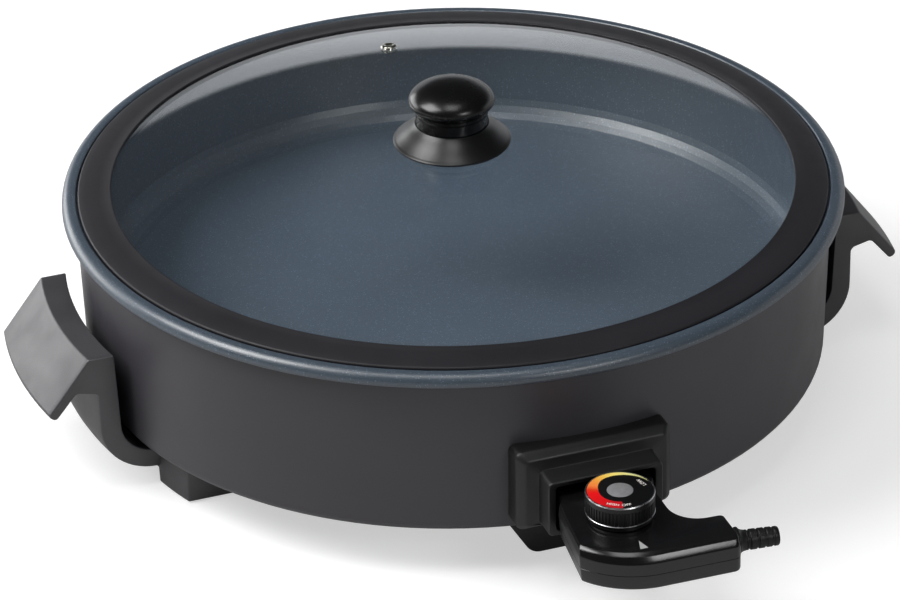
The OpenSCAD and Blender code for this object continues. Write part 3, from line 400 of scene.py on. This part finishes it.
VENT = metal("vent_steel", (205, 203, 192), 0.22)
PROBE = metal("probe_steel", (180, 177, 170), 0.3, stretch=(1, 10, 1))
BRASS = metal("contact_brass", (190, 150, 80), 0.33)
SILVER = metal("dial_silver", (190, 190, 192), 0.30)
DISC = metal("dial_disc_silver", (158, 158, 160), 0.35, metallic=0.35)
PRINT = plastic("dial_print", (10, 10, 11), 0.3, grain=0.05)
WHITE = plastic("print_white", (232, 226, 222), 0.45, grain=0.05, spread=0.02)
HEAT = heat_print()

for node, mat in {
    "heater_casting": CAST, "heating_element": SHEATH, "terminal_pin_left": PINS,
    "terminal_pin_right": PINS, "terminal_insulators": CERAMIC, "probe_sleeve": SHEATH, "base_plate": PLATE,
    "shroud_screws": SCREW, "front_foot": BLACK, "front_foot_screw": SCREW, "front_foot_pad": PAD,
    "left_handle_screws": SCREW, "right_handle_screws": SCREW, "left_foot_pads": PAD,
    "right_foot_pads": PAD, "knob_insert": BRASS, "knob_screw": SCREW, "knob_washer": WASHER,
    "contact_carrier": CARRIER, "left_receptacle": BRASS, "right_receptacle": BRASS,
    "probe_rod": PROBE, "thermostat_frame": CERAMIC, "fixed_contact": BRASS,
    "moving_contact": BRASS, "cord_clamp": STEEL, "control_screws": SCREW,
    "pointer_inlay": POINTER, "dial_spindle": PINS, "dial_disc": DISC,
    "dial_upper_trim": SILVER, "dial_lower_trim": SILVER, "pan": NONSTICK,
    "outer_shell": SHELL, "socket_shroud": BLACK, "left_handle": HANDLE, "right_handle": HANDLE,
    "lid_glass": GLASS, "lid_ring": RING, "vent_grommet": VENT, "knob": KNOB,
    "knob_skirt": SKIRT, "control_top": CASE, "control_bottom": CASE, "cord_boot": BOOT,
    "dial_knob": DIAL, "dial_plate": PRINT,
}.items():
    me = NODES[node].data
    me.materials.clear()
    me.materials.append(mat)

# ---------------------------------------------------------------- pieces

def settle(ob, sharp):
    """The object's modifiers, worked into its mesh."""
    dg = bpy.context.evaluated_depsgraph_get()
    dg.update()
    me = bpy.data.meshes.new_from_object(ob.evaluated_get(dg))
    ob.modifiers.clear()
    ob.data = me
    me.shade_smooth()
    me.set_sharp_from_angle(angle=math.radians(sharp))


def round_edges(ob, width, angle):
    """Edges sharper than an angle get a small rounding, in mm."""
    mod = ob.modifiers.new("edge_round", "BEVEL")
    mod.width = width * MM
    mod.segments = 3
    mod.limit_method = "ANGLE"
    mod.angle_limit = math.radians(angle)
    mod.harden_normals = False
    settle(ob, 35)


def cut(ob, solids, sharp=32.0):
    """The object minus some solids, each given as (points, faces) in mm about the pan's axis."""
    for verts, faces in solids:
        me = bpy.data.meshes.new("cutter")
        me.from_pydata([(x * MM, (y + AXIS_Y) * MM, z * MM) for x, y, z in verts], [], faces)
        outward(me)
        cutter = bpy.data.objects.new("cutter", me)
        bpy.context.scene.collection.objects.link(cutter)
        mod = ob.modifiers.new("cut", "BOOLEAN")
        mod.operation = "DIFFERENCE"
        mod.solver = "EXACT"
        mod.object = cutter
        bpy.context.view_layer.update()
        settle(ob, sharp)
        bpy.data.objects.remove(cutter)


def rod(x, z, r, y0, y1):
    """A solid rod along Y."""
    turns = [2 * math.pi * i / ROD_SIDES for i in range(ROD_SIDES)]
    return skin([[(x + r * math.cos(t), y, z + r * math.sin(t)) for t in turns] for y in (y0, y1)])


def turned(name, profile, body, material, replaces, segments=SMALL, centre=(0.0, 0.0), sharp=32.0):
    """A piece turned round an upright axis from a closed profile (radius, height)."""
    verts, faces = lathe(profile, segments, True, centre)
    return make(name, verts, faces, body, material, replaces, sharp)


def placed(matrix, points):
    """Points moved by a matrix."""
    return [tuple(matrix @ Vector(v)) for v in points]


DOME_SAG = GLASS_TOP - (RING_TOP - 0.7)     # the glass's rise from the ring's inner edge to the middle
DOME_R = (RING_IN_R ** 2 + DOME_SAG ** 2) / (2 * DOME_SAG)


def glass_z(r, drop=0.0):
    """Height of the glass's upper face at a radius, or of the face that lies a drop under it."""
    return GLASS_TOP - DOME_R + math.sqrt((DOME_R - drop) ** 2 - r * r)


# Lid: glass with a hole for the knob's screw, and the ring that grips its edge
HOLE_R = 2.9
radii = spaced(HOLE_R, GLASS_EDGE_R, 48)
glass_profile = [(r, glass_z(r)) for r in radii] + [(r, glass_z(r, GLASS_T)) for r in reversed(radii)]
lid_glass = turned("lid_glass_pane", glass_profile, "lid", GLASS, ["lid_glass"], ROUND)

LIP_R, PLAY = 176.4, 0.02       # the ring's lip inside the pan's ledge, and its play on the glass
GRIP_R = RING_IN_R + 1.5
under_glass = glass_z(GRIP_R, GLASS_T)
ring = ([(GRIP_R, under_glass - 0.05), (GRIP_R, under_glass - 1.9), (RING_IN_R + 2.0, under_glass - 2.3),
         (LIP_R - 0.5, 106.6), (LIP_R, 107.1), (LIP_R, LEDGE_Z), (RING_OUT_R - 0.4, LEDGE_Z)]
        + arc(RING_OUT_R - 1.2, 111.8, 1.2, -60, 80, 8)
        + [(178.0, 113.65), (172.0, 114.4), (RING_IN_R + 0.9, 115.0)]
        + arc(RING_IN_R + 0.6, 114.5, 0.6, 80, 180, 5)
        + [(RING_IN_R, glass_z(RING_IN_R) + PLAY), (GLASS_EDGE_R + PLAY, glass_z(GLASS_EDGE_R)),
           (GLASS_EDGE_R + PLAY, glass_z(GLASS_EDGE_R, GLASS_T) - 0.05)])
turned("lid_ring_band", ring, "lid", RING, ["lid_ring"], ROUND, sharp=50)

# Steam vent: an eyelet square to the glass, at a radius and an azimuth
VENT_R, VENT_A = 127.5, 85.0
vent_profile = [(1.7, 0.75), (1.7, -4.9), (4.3, -5.0), (4.3, -4.1), (2.65, -4.1), (2.65, 0.0), (4.3, 0.0),
                (4.25, 0.35), (3.9, 0.75), (3.3, 0.95), (2.6, 0.98), (2.1, 0.9)]
on_dome = (Matrix.Rotation(math.radians(VENT_A), 4, "Z")
           @ Matrix.Rotation(math.asin(VENT_R / DOME_R), 4, "Y") @ Matrix.Translation((0, 0, DOME_R)))
AT_VENT = Matrix.Translation((0, 0, GLASS_TOP - DOME_R)) @ on_dome
verts, faces = lathe(vent_profile, TINY)
make("vent_eyelet", placed(AT_VENT, verts), faces, "lid", VENT, ["vent_grommet"])
verts, faces = lathe([(0, -9), (2.7, -9), (2.7, 6), (0, 6)], TINY, closed=False)
cut(lid_glass, [(placed(AT_VENT, verts), faces)])

# Knob: a thin cone on the glass, a grooved neck and a rounded head
SKIRT_Z = 133.0
NECK_Z, HEAD_Z = SKIRT_Z + 10, SKIRT_Z + 19.5
KNOB_R, HEAD_LIP, HEAD_DOME = 20.8, 2.3, 9.2
skirt = ([(2.9, 134.5), (7, 134.5), (7, NECK_Z - 1.4), (16.3, NECK_Z - 1.4)]
         + [(r, SKIRT_Z + z) for r, z in (
             (27.0, 1.0), (27.0, 0.1), (27.3, 0), (28.1, 0), (28.45, 0.2), (28.6, 0.6), (28.55, 1.05),
             (28.2, 1.4), (27.6, 1.7), (27.2, 1.95), (24.0, 4.9), (20.6, 7.8), (18.6, 9.3))]
         + [(18.0, NECK_Z), (2.9, NECK_Z)])
turned("knob_cone", skirt, "lid", SKIRT, ["knob_skirt"], SMALL, sharp=28)
GROOVE = ((17.5, -0.45), (17.1, -0.25), (16.9, 0), (17.1, 0.25), (17.5, 0.45))
head_mid = HEAD_Z + HEAD_LIP
knob_profile = ([(4.05, NECK_Z), (17.0, NECK_Z), (17.5, NECK_Z + 0.5)]
                + [(r, HEAD_Z - drop + dz) for drop in (3.6, 1.6) for r, dz in GROOVE]
                + arc(KNOB_R - HEAD_LIP, head_mid, HEAD_LIP, -90, 0, 10)
                + [(KNOB_R * math.cos(math.radians(a)), head_mid + HEAD_DOME * math.sin(math.radians(a)))
                   for a in range(3, 90, 3)]
                + [(0, head_mid + HEAD_DOME), (0, NECK_Z + 10.5), (4.05, NECK_Z + 10.5)])
turned("knob_head", knob_profile, "lid", KNOB, ["knob"], SMALL, sharp=28)

# Handles: the grip's section follows the shell's curve, the ends are square cuts
FLAP_TIP, FLAP_IN_TIP = (223.1, 48.1), (219.46, 45.3)
grip = ([(168.5, 10.0)] + arc(172.5, 36, 26, -90, 0, 14)
        + rounded([(198.5, 49, 0), (198.5, 55.5, 3), (209.0, 58.0, 3), FLAP_IN_TIP + (2,), FLAP_TIP + (2,),
                   (202.4, 75, 1.6), (190.2, 75, 0.8), (188.7, 36, 0)])
        + arc(172.5, 36, 16.2, 0, -90, 12)[1:] + [(168.5, 19.8)])


def swept(section, stations, side):
    """Loops of a section (radius, height) set square across concentric arcs."""
    return [[(side * math.sqrt(r * r - y * y), y, z) for r, z in section(y)] for y in stations]


def bracket(y):
    """Section of the foot bracket: it stands on the table at both ends and is an arch between."""
    low = 8.0 if abs(y) < 41.2 else 0.5
    return [(132.6, low), (171.6, low), (171.6, 24.0), (132.6, 24.0)]


GRIP_STATIONS = spaced(-42.8, 42.8, 30)
BRACKET_STATIONS = spaced(-65, -41.7, 6) + spaced(-41.1, 41.1, 20) + spaced(41.7, 65, 6)
for side, label in ((-1, "left"), (1, "right")):
    verts, faces = skin(swept(lambda y: grip, GRIP_STATIONS, side))
    ob = make(label + "_grip", verts, faces, "skillet", HANDLE, [label + "_handle"], 35)
    round_edges(ob, 0.7, 55)
    verts, faces = skin(swept(bracket, BRACKET_STATIONS, side))
    ob = make(label + "_foot_bracket", verts, faces, "skillet", HANDLE, None, 35)
    round_edges(ob, 0.8, 60)


def frame_loop(w, h, r, z0, y):
    """A rectangle with round corners, facing -Y; y is a number or a function of x and z."""
    pts = []
    for cx, cz, a0 in ((1, 1, 0), (-1, 1, 90), (-1, -1, 180), (1, -1, 270)):
        for i in range(8):
            a = math.radians(a0 + 90 * i / 7)
            x = cx * (w / 2 - r) + r * math.cos(a)
            z = z0 + cz * (h / 2 - r) + r * math.sin(a)
            pts.append((x, y(x, z) if callable(y) else y, z))
    return pts


def on_shell(x, z):
    """Depth of the shell's face, a little sunk, at a place seen from the front."""
    r = SHELL_FOOT_R + (z - 29.4) * (SHELL_R - SHELL_FOOT_R) / (RIM_BASE - 29.4)
    return -math.sqrt((r - 0.25) ** 2 - x * x)


# Socket: a bevelled frame on the shell, then the narrower nose and its lined mouth. Each row holds the
# width, height, corner and middle, and how far out it lies
COLLAR = (76, 41.5, 3.6, SOCKET_Z + 2.8)
shroud = [COLLAR + (on_shell,), COLLAR + (-187.2,)]
shroud += [(w, h, r, SOCKET_Z + 2.8, y) for w, h, r, y in (
    (75.6, 41.1, 3.6, -187.9), (74.6, 40.1, 3.4, -188.8), (70.4, 35.9, 2.6, -191.3),
    (69.2, 34.7, 2.4, -191.85), (67.8, 33.3, 2.2, -192))]
shroud += [(w, h, r, SOCKET_Z, y) for w, h, r, y in (
    (57.6, 30.0, 3.0, -192), (56.5, 28.9, 2.7, -192.3), (56, 28.4, 2.5, -193.1), (56, 28.4, 2.5, -202.9),
    (55.7, 28.1, 2.4, -203.6), (55.0, 27.4, 2.2, -204), (49.6, 24.3, 2.0, -204), (48.7, 23.4, 1.7, -203.7),
    (48.4, 23.1, 1.5, -203.1), (48.4, 23.1, 1.5, -180.3), (52.4, 27.1, 2.0, -180.3),
    (52.4, 27.1, 2.0, -183.0))]
verts, faces = skin([frame_loop(*row) for row in shroud], wrap=True)
make("socket_frame", verts, faces, "skillet", BLACK, ["socket_shroud"], 38)

foot = rounded([(-34, 24, 0), (-34, 20, 3), (-22, 0.5, 8), (22, 0.5, 8), (34, 20, 3), (34, 24, 0)])
verts, faces = skin([[(x, y, z) for x, z in foot] for y in (-146, -166)])
ob = make("socket_foot", verts, faces, "skillet", BLACK, ["front_foot"], 35)
round_edges(ob, 0.8, 60)

# Heat control: the plan is moved in edge by edge, so each edge of the top has its own rounding. Each
# corner: x, y, radius, how far it lies further in at the base, and the share of the top's rounding on
# the edge after it
FRONT = 267.4
PLAN = ((23, -186, 1.2, 0, 0.2), (-23, -186, 1.2, 0, 0.2), (-23, -207, 2.0, 0, 0.2),
        (-26.9, -212.5, 2.2, 1.5, 0.4), (-31.0, -249.4, 1.8, 1.5, 0.85), (-17.6, -266.4, 40, 0.4, 1.0),
        (41, -FRONT, 3.5, 0, 0.35), (41, -245, 3.5, 0, 0.35), (20, -244, 13, 0, 0.35),
        (20, -212, 8, 0, 0.25), (23, -206, 5, 0, 0.2))
CASE_WALL = 2.0


def case_loop(z, widths):
    """The case's outline at a height, each edge moved in by its own width."""
    drop = (CASE_TOP - z) / (CASE_TOP - CASE_BASE)
    pts = [Vector((x + drop * lean, y)) for x, y, _, lean, _ in PLAN]
    out = []
    n = len(pts)
    for k, p in enumerate(pts):
        u = (p - pts[k - 1]).normalized()
        v = (pts[(k + 1) % n] - p).normalized()
        nu, nv = Vector((-u.y, u.x)), Vector((-v.y, v.x))
        before, after = widths[k - 1], widths[k]
        q = p + nu * before + u * ((after - before * nu.dot(nv)) / u.dot(nv))
        mean = (before + after) / 2
        r = PLAN[k][2]
        steps = 24 if r > 20 else 10
        r = max(0.3, r - mean) if u.x * v.y - u.y * v.x > 0 else r + mean
        c, start, turn = fillet(q, -u, v, r)
        out += arc(c.x, c.y, r, start, start + turn, steps)
    return [(x, y, z) for x, y in out]


def even_loop(z, d):
    """The case's outline at a height, moved in by d all round."""
    return case_loop(z, [d] * len(PLAN))


def slab(levels):
    """A solid through outlines that are inset by d at each height z, for (d, z) in levels."""
    return skin([even_loop(z, d) for d, z in levels])


def upright_rod(x, y, r, z0, z1):
    return lathe([(0, z0), (r, z0), (r, z1), (0, z1)], ROD_SIDES, False, (x, y))


def cuboid(x0, x1, y0, y1, z0, z1):
    return skin([[(x0, y0, z), (x1, y0, z), (x1, y1, z), (x0, y1, z)] for z in (z0, z1)])


BOOT_AT = Matrix.Translation((39.8, -(FRONT - 11.7), CASE_BASE + 9.0)) @ Matrix.Rotation(
    math.radians(-7), 4, "Z") @ Matrix.Rotation(math.pi / 2, 4, "Y")
verts, faces = lathe([(0, -12), (4.46, -12), (4.46, 8), (0, 8)], TINY, False)
# Holes through the walls: for the two pins, the probe and the boot
holes = [rod(-14, SOCKET_Z, 3.2, -180, -190), rod(14, SOCKET_Z, 3.2, -180, -190),
         rod(0, SOCKET_Z, 4.6, -180, -190), (placed(BOOT_AT, verts), faces)]

# The top's rounding, as (inset, drop) on the front edge: crowned chamfer, narrow valley, low chamfer
VALLEY = 1.25
ROUNDING = ((0.0, 5.2), (0.04, 4.8), (0.16, 4.4), (0.68, 3.45), (1.27, 2.5), (1.9, 1.56), (2.05, 1.35),
            (2.2, VALLEY + 0.01), (2.42, VALLEY), (2.52, VALLEY - 0.06), (4.05, 0.03), (4.2, 0.0))
loops = [even_loop(SEAM + 0.05, 0.12), even_loop(SEAM + 0.17, 0.0)]
loops += [case_loop(CASE_TOP - drop, [d * share for _, _, _, _, share in PLAN]) for d, drop in ROUNDING]
verts, faces = skin(loops)
top = make("control_case_upper", verts, faces, "control", CASE, ["control_top"], 35)
cut(top, [slab([(CASE_WALL, SEAM - 1), (CASE_WALL, CASE_TOP - 2.6)]),
          cuboid(-30, 30, -206, -180, CASE_TOP - 0.8, 60),
          upright_rod(DIAL_X, DIAL_Y, 3.3, 50, 60)] + holes, 35)
verts, faces = slab([(1.5, CASE_BASE), (0.75, CASE_BASE + 0.2), (0.2, CASE_BASE + 0.75),
                     (0.0, CASE_BASE + 1.5), (0.0, SEAM - 0.15), (0.12, SEAM - 0.03)])
bottom = make("control_case_lower", verts, faces, "control", CASE, ["control_bottom"], 35)
screw_pockets = [upright_rod(x, y, 3.1, CASE_BASE - 1, CASE_BASE + 2.0)
                 for x, y in ((-19, -253.4), (29, -261.4), (6, -213))]
cut(bottom, [slab([(CASE_WALL, CASE_BASE + 2.4), (CASE_WALL, SEAM + 1)])] + screw_pockets + holes, 35)

# Boot round the cord's exit: flange, cone, neck and segments (start, end, radius) between grooves
BOOT_BORE, BOOT_GROOVE = 2.8, 4.15
SEGMENTS = ((6.7, 7.7, 4.7), (8.5, 11.7, 4.78), (12.5, 15.4, 4.7), (16.2, 18.9, 4.6), (19.7, 21.7, 4.5))
boot = [(BOOT_BORE, -5), (6.0, -5), (6.0, -3), (4.4, -3), (4.4, 2.2), (6.4, 2.2), (6.55, 2.4), (6.5, 3.2),
        (6.2, 3.5), (5.6, 3.9), (4.95, 5.2), (4.72, 6.6)]
for z0, z1, r in SEGMENTS:
    boot += [(BOOT_GROOVE, z0), (r - 0.25, z0 + 0.02), (r, z0 + 0.3), (r - 0.03, z1 - 0.3), (r - 0.28, z1),
             (BOOT_GROOVE, z1 + 0.02)]
boot = boot[:-2] + [(4.1, 22.0), (BOOT_BORE, 22.0)]
verts, faces = lathe(boot, BOOT_SIDES)
make("cord_boot_ribbed", placed(BOOT_AT, verts), faces, "control", BOOT, ["cord_boot"], 35)


def dial_ring(r, z, ribs=0.0):
    """Points round the dial; every second group of three lies deeper by ribs."""
    out = []
    for i in range(360):
        a, rr = 2 * math.pi * i / 360, r - (ribs if (i // 3) % 2 else 0.0)
        out.append((DIAL_X + rr * math.cos(a), DIAL_Y + rr * math.sin(a), DIAL_Z + z))
    return out


def dial_part(name, profile, base, material, node, segments):
    """A turned piece on the dial's axis, its heights counted from a base."""
    turned(name, [(r, base + z) for r, z in profile], "dial", material, [node], segments, (DIAL_X, DIAL_Y))


# Dial: ribbed knob as (radius, height, depth of the ribs), printed plate, silver disc and trims
FACE_R, FACE_Z, DISC_R = 15.2, DIAL_Z + DIAL_H - 0.1, 5.95
DIAL_PROFILE = ((3.05, 0.0), (14.6, 0.0), (15.0, 0.3), (15.0, 2.55), (14.55, 2.6), (14.55, 3.2), (15.6, 3.22),
                (15.88, 3.35), (15.88, 3.5), (15.88, 3.6, 0.45), (15.88, 9.5, 0.45), (15.88, 9.9, 0.2),
                (15.88, 10.1), (15.88, 12.3), (15.8, 12.38), (15.25, 12.38), (15.24, 11.9), (3.05, 11.9))
verts, faces = skin([dial_ring(*row) for row in DIAL_PROFILE], wrap=True)
make("dial_ribbed", verts, faces, "dial", DIAL, ["dial_knob"], 30)
turned("dial_face", [(0, DIAL_Z + 11.92), (FACE_R, DIAL_Z + 11.92), (FACE_R, FACE_Z - 0.08),
                     (FACE_R - 0.15, FACE_Z), (0, FACE_Z)],
       "dial", PRINT, ["dial_plate"], FINE, (DIAL_X, DIAL_Y))
dial_part("dial_upper_ring", [(15.25, 12.4), (15.9, 12.4), (15.9, 12.55), (15.62, 12.95), (15.5, 13.0),
                              (15.3, 13.0), (15.25, 12.9)], DIAL_Z, SILVER, "dial_upper_trim", FINE)
dial_part("dial_lower_ring", [(14.6, 2.62), (15.8, 2.62), (16.0, 2.8), (16.0, 3.0), (15.8, 3.18),
                              (14.6, 3.18)], DIAL_Z, SILVER, "dial_lower_trim", FINE)
dial_part("dial_centre", [(0, 0), (DISC_R, 0), (DISC_R, 0.18), (DISC_R - 0.25, 0.3), (0, 0.3)],
          FACE_Z, DISC, "dial_disc", SMALL)

# The printed band narrows from red to yellow; the words stand on it and beside it
BAND = ((12, 14.9), (31, 14.2), (51, 13.3), (84, 12.5), (110, 12.0), (130, 11.0), (158, 9.7),
        (211, 9.6), (254, 9.6))     # azimuth, inner radius


def band_inner(a):
    """The band's inner radius at an azimuth."""
    for (a0, r0), (a1, r1) in zip(BAND, BAND[1:]):
        if a <= a1:
            return r0 + (r1 - r0) * (a - a0) / (a1 - a0)
    return BAND[-1][1]


def on_dial(a, r, z):
    """A point at an azimuth, a radius and a height on the dial."""
    return (DIAL_X + r * math.cos(math.radians(a)), DIAL_Y + r * math.sin(math.radians(a)), z)


loops = []
for a in spaced(BAND[0][0], BAND[-1][0], 121):
    lo, hi = band_inner(a), FACE_R - 0.2
    loops.append([on_dial(a, lo, FACE_Z), on_dial(a, hi, FACE_Z), on_dial(a, hi, FACE_Z + 0.05),
                  on_dial(a, lo, FACE_Z + 0.05)])
verts, faces = skin(loops)
make("dial_band", verts, faces, "dial", HEAT, None, 30)


INK_DEPTH, INK_SPREAD = 0.03, 0.02      # in mm


def word(text, a, r, size, lift):
    """A word printed on the dial, its letters' tops towards the middle, at an azimuth and radius."""
    curve = bpy.data.curves.new("word", "FONT")
    curve.body = text
    curve.size = size * MM
    curve.align_x = "CENTER"
    curve.align_y = "CENTER"
    curve.extrude = INK_DEPTH * MM
    curve.offset = INK_SPREAD * MM
    raw = bpy.data.objects.new("word", curve)
    bpy.context.scene.collection.objects.link(raw)
    x, y, z = on_dial(a, r, FACE_Z + lift)
    raw.matrix_world = Matrix.Translation((x * MM, (y + AXIS_Y) * MM, z * MM)) @ Matrix.Rotation(
        math.radians(a + 90), 4, "Z")
    bpy.context.view_layer.update()
    me = bpy.data.meshes.new_from_object(raw.evaluated_get(bpy.context.evaluated_depsgraph_get()))
    me.transform(raw.matrix_world)
    bpy.data.objects.remove(raw)
    ob = bpy.data.objects.new("dial_word_" + text.lower(), me)
    bpy.context.scene.collection.objects.link(ob)
    me.materials.clear()
    me.materials.append(WHITE)
    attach(ob, "dial")


for text, azimuth, radius, size, lift in (
        ("OFF", 262.0, 12.6, 2.5, 0.03), ("HIGH", 233.5, 12.4, 2.4, 0.08), ("LOW", 13.0, 11.8, 2.5, 0.03)):
    word(text, azimuth, radius, size, lift)


# ---------------------------------------------------------------- stage


def area(name, where, target, size, power):
    """A soft rectangular lamp that faces a target."""
    data = bpy.data.lights.new(name, "AREA")
    data.shape = "RECTANGLE"
    data.size, data.size_y = size
    data.energy = power
    ob = bpy.data.objects.new(name, data)
    bpy.context.scene.collection.objects.link(ob)
    ob.location = where
    ob.rotation_euler = (Vector(target) - Vector(where)).to_track_quat("-Z", "Y").to_euler()


# Floor: the camera sees it pale and glowing, the object gets less light back from it. Sizes in m
FLOOR_HALF, FLOOR_Z = 8, -0.0002
SEEN_TONE, SEEN_GLOW, BOUNCE_TONE, SEEN_IN_GLOSS = 0.62, 0.54, 0.45, 0.2
floor_me = bpy.data.meshes.new("floor")
floor_me.from_pydata([(x * FLOOR_HALF, y * FLOOR_HALF, FLOOR_Z)
                      for x, y in ((-1, -1), (1, -1), (1, 1), (-1, 1))], [], [(0, 1, 2, 3)])
floor = bpy.data.objects.new("floor", floor_me)
bpy.context.scene.collection.objects.link(floor)
fm = Mat("floor_white")
fm.p.inputs["Base Color"].default_value = (SEEN_TONE, SEEN_TONE, SEEN_TONE, 1.0)
fm.set(rough=0.9, spec=0.1)
glow = fm.node("ShaderNodeEmission")
glow.inputs["Strength"].default_value = SEEN_GLOW
add = fm.node("ShaderNodeAddShader")
bounce = fm.node("ShaderNodeBsdfDiffuse")
bounce.inputs["Color"].default_value = (BOUNCE_TONE, BOUNCE_TONE, BOUNCE_TONE, 1.0)
lp = fm.node("ShaderNodeLightPath")
in_gloss = fm.math("MULTIPLY", lp.outputs["Is Glossy Ray"], SEEN_IN_GLOSS)
see = fm.math("MAXIMUM", lp.outputs["Is Camera Ray"], in_gloss)
see = fm.math("MAXIMUM", see, lp.outputs["Is Transmission Ray"])
sw = fm.node("ShaderNodeMixShader")
fm.link(fm.p.outputs[0], add.inputs[0])
fm.link(glow.outputs[0], add.inputs[1])
fm.link(see, sw.inputs[0])
fm.link(bounce.outputs[0], sw.inputs[1])
fm.link(add.outputs[0], sw.inputs[2])
fm.link(sw.outputs[0], fm.out.inputs["Surface"])
floor_me.materials.append(fm.mat)

PLAIN = 0.16        # light of the room
DARK = 0.05         # what the dark room shows in gloss
# A white card behind the object, seen only in gloss: its turn, its tone at the foot and at the edge, its
# edge as a slope (height at the middle, rise to the sides, highest place, softness), and the way ahead
# over which it fades in
CARD_TURN = math.radians(19.5)
CARD_LOW, CARD_TOP = 1.1, 0.75
CARD_EDGE, CARD_BEND, CARD_LIMIT, CARD_SOFT = 0.134, 2.4, 0.3, 0.008
CARD_FADE = 0.1
CARD_COLOUR = (0.93, 0.96, 1.0, 1.0)
PURE_WHITE = (1, 1, 1, 1)
world = bpy.data.worlds.new("studio")
bpy.context.scene.world = world
world.use_nodes = True
wt = world.node_tree


def sky(kind, *inputs, **props):
    """A node of the world's tree, its inputs linked or set in order."""
    n = wt.nodes.new(kind)
    for k, v in props.items():
        setattr(n, k, v)
    for sock, val in zip(n.inputs, inputs):
        if isinstance(val, bpy.types.NodeSocket):
            wt.links.new(val, sock)
        elif val is not None:
            sock.default_value = val
    return n


def sky_math(op, *inputs):
    """The output of a math node in the world's tree."""
    return sky("ShaderNodeMath", *inputs, operation=op).outputs[0]


# Each ray's way: its rise as a slope (the 1.0001 keeps the root above zero), and how far it looks to the
# card's side and ahead to the card
ray = sky("ShaderNodeSeparateXYZ", sky("ShaderNodeTexCoord").outputs["Generated"]).outputs
flat = sky_math("SQRT", sky_math("SUBTRACT", 1.0001, sky_math("MULTIPLY", ray["Z"], ray["Z"])))
rise = sky_math("DIVIDE", ray["Z"], flat)
side = sky_math("DIVIDE", sky_math("SUBTRACT", sky_math("MULTIPLY", ray["X"], math.cos(CARD_TURN)),
                                   sky_math("MULTIPLY", ray["Y"], math.sin(CARD_TURN))), flat)
ahead = sky_math("ADD", sky_math("MULTIPLY", ray["X"], math.sin(CARD_TURN)),
                 sky_math("MULTIPLY", ray["Y"], math.cos(CARD_TURN)))
bend = sky_math("MULTIPLY", sky_math("MULTIPLY", side, side), CARD_BEND)
edge = sky_math("MINIMUM", sky_math("ADD", bend, CARD_EDGE), CARD_LIMIT)
under = sky("ShaderNodeMapRange", sky_math("SUBTRACT", rise, edge), -CARD_SOFT, CARD_SOFT,
            1.0, 0.0).outputs[0]
front = sky("ShaderNodeMapRange", ahead, 0.0, CARD_FADE, 0.0, 1.0).outputs[0]
tone = sky("ShaderNodeMapRange", rise, 0.0, CARD_EDGE, CARD_LOW, CARD_TOP).outputs[0]
card = sky_math("MAXIMUM", sky_math("MULTIPLY", sky_math("MULTIPLY", under, front), tone), DARK)
glossy_bg = sky("ShaderNodeBackground", CARD_COLOUR, card).outputs[0]
plain_bg = sky("ShaderNodeBackground", PURE_WHITE, PLAIN).outputs[0]
white_bg = sky("ShaderNodeBackground", PURE_WHITE, 1.0).outputs[0]
seen = sky("ShaderNodeLightPath").outputs
lit = sky("ShaderNodeMixShader", seen["Is Glossy Ray"], plain_bg, glossy_bg).outputs[0]
whole = sky("ShaderNodeMixShader", seen["Is Camera Ray"], lit, white_bg).outputs[0]
wt.links.new(whole, wt.nodes["World Output"].inputs["Surface"])

# Lamps: name, place, target, width and height in m, watts
LAMPS = (("left", (-1.46, 0.28, 1.76), (0, 0.03, 0.06), (1.3, 1.3), 48),
         ("rear_left", (-1.45, 2.0, 0.5), (-0.1, 0.03, 0.06), (2.0, 1.1), 25),
         ("top", (-0.15, -0.4, 2.2), (0, -0.1, 0.05), (0.7, 1.0), 8),
         ("front", (0.6, -2.05, 1.3), (0, -0.2, 0.05), (0.6, 0.6), 9))
for lamp in LAMPS:
    area(*lamp)

# Camera fitted to the photo: lens and sensor in mm, place and axes in the scene's frame
LENS, SENSOR, CLIP_END = 180, 36, 50
CAM_AT = (-0.6334, -1.7803, 1.1495)
cam_data = bpy.data.cameras.new("camera")
cam_data.lens = LENS
cam_data.sensor_width = SENSOR
cam_data.clip_end = CLIP_END
cam = bpy.data.objects.new("camera", cam_data)
bpy.context.scene.collection.objects.link(cam)
right = Vector((0.9415, -0.3367, -0.0170)).normalized()
back = Vector((-0.2841, -0.8194, 0.4979)).normalized()
up = back.cross(right).normalized()
right = up.cross(back)
cam.matrix_world = Matrix([(right[k], up[k], back[k], CAM_AT[k]) for k in range(3)] + [(0, 0, 0, 1)])
bpy.context.scene.camera = cam
bpy.context.scene.view_settings.view_transform = "Standard"
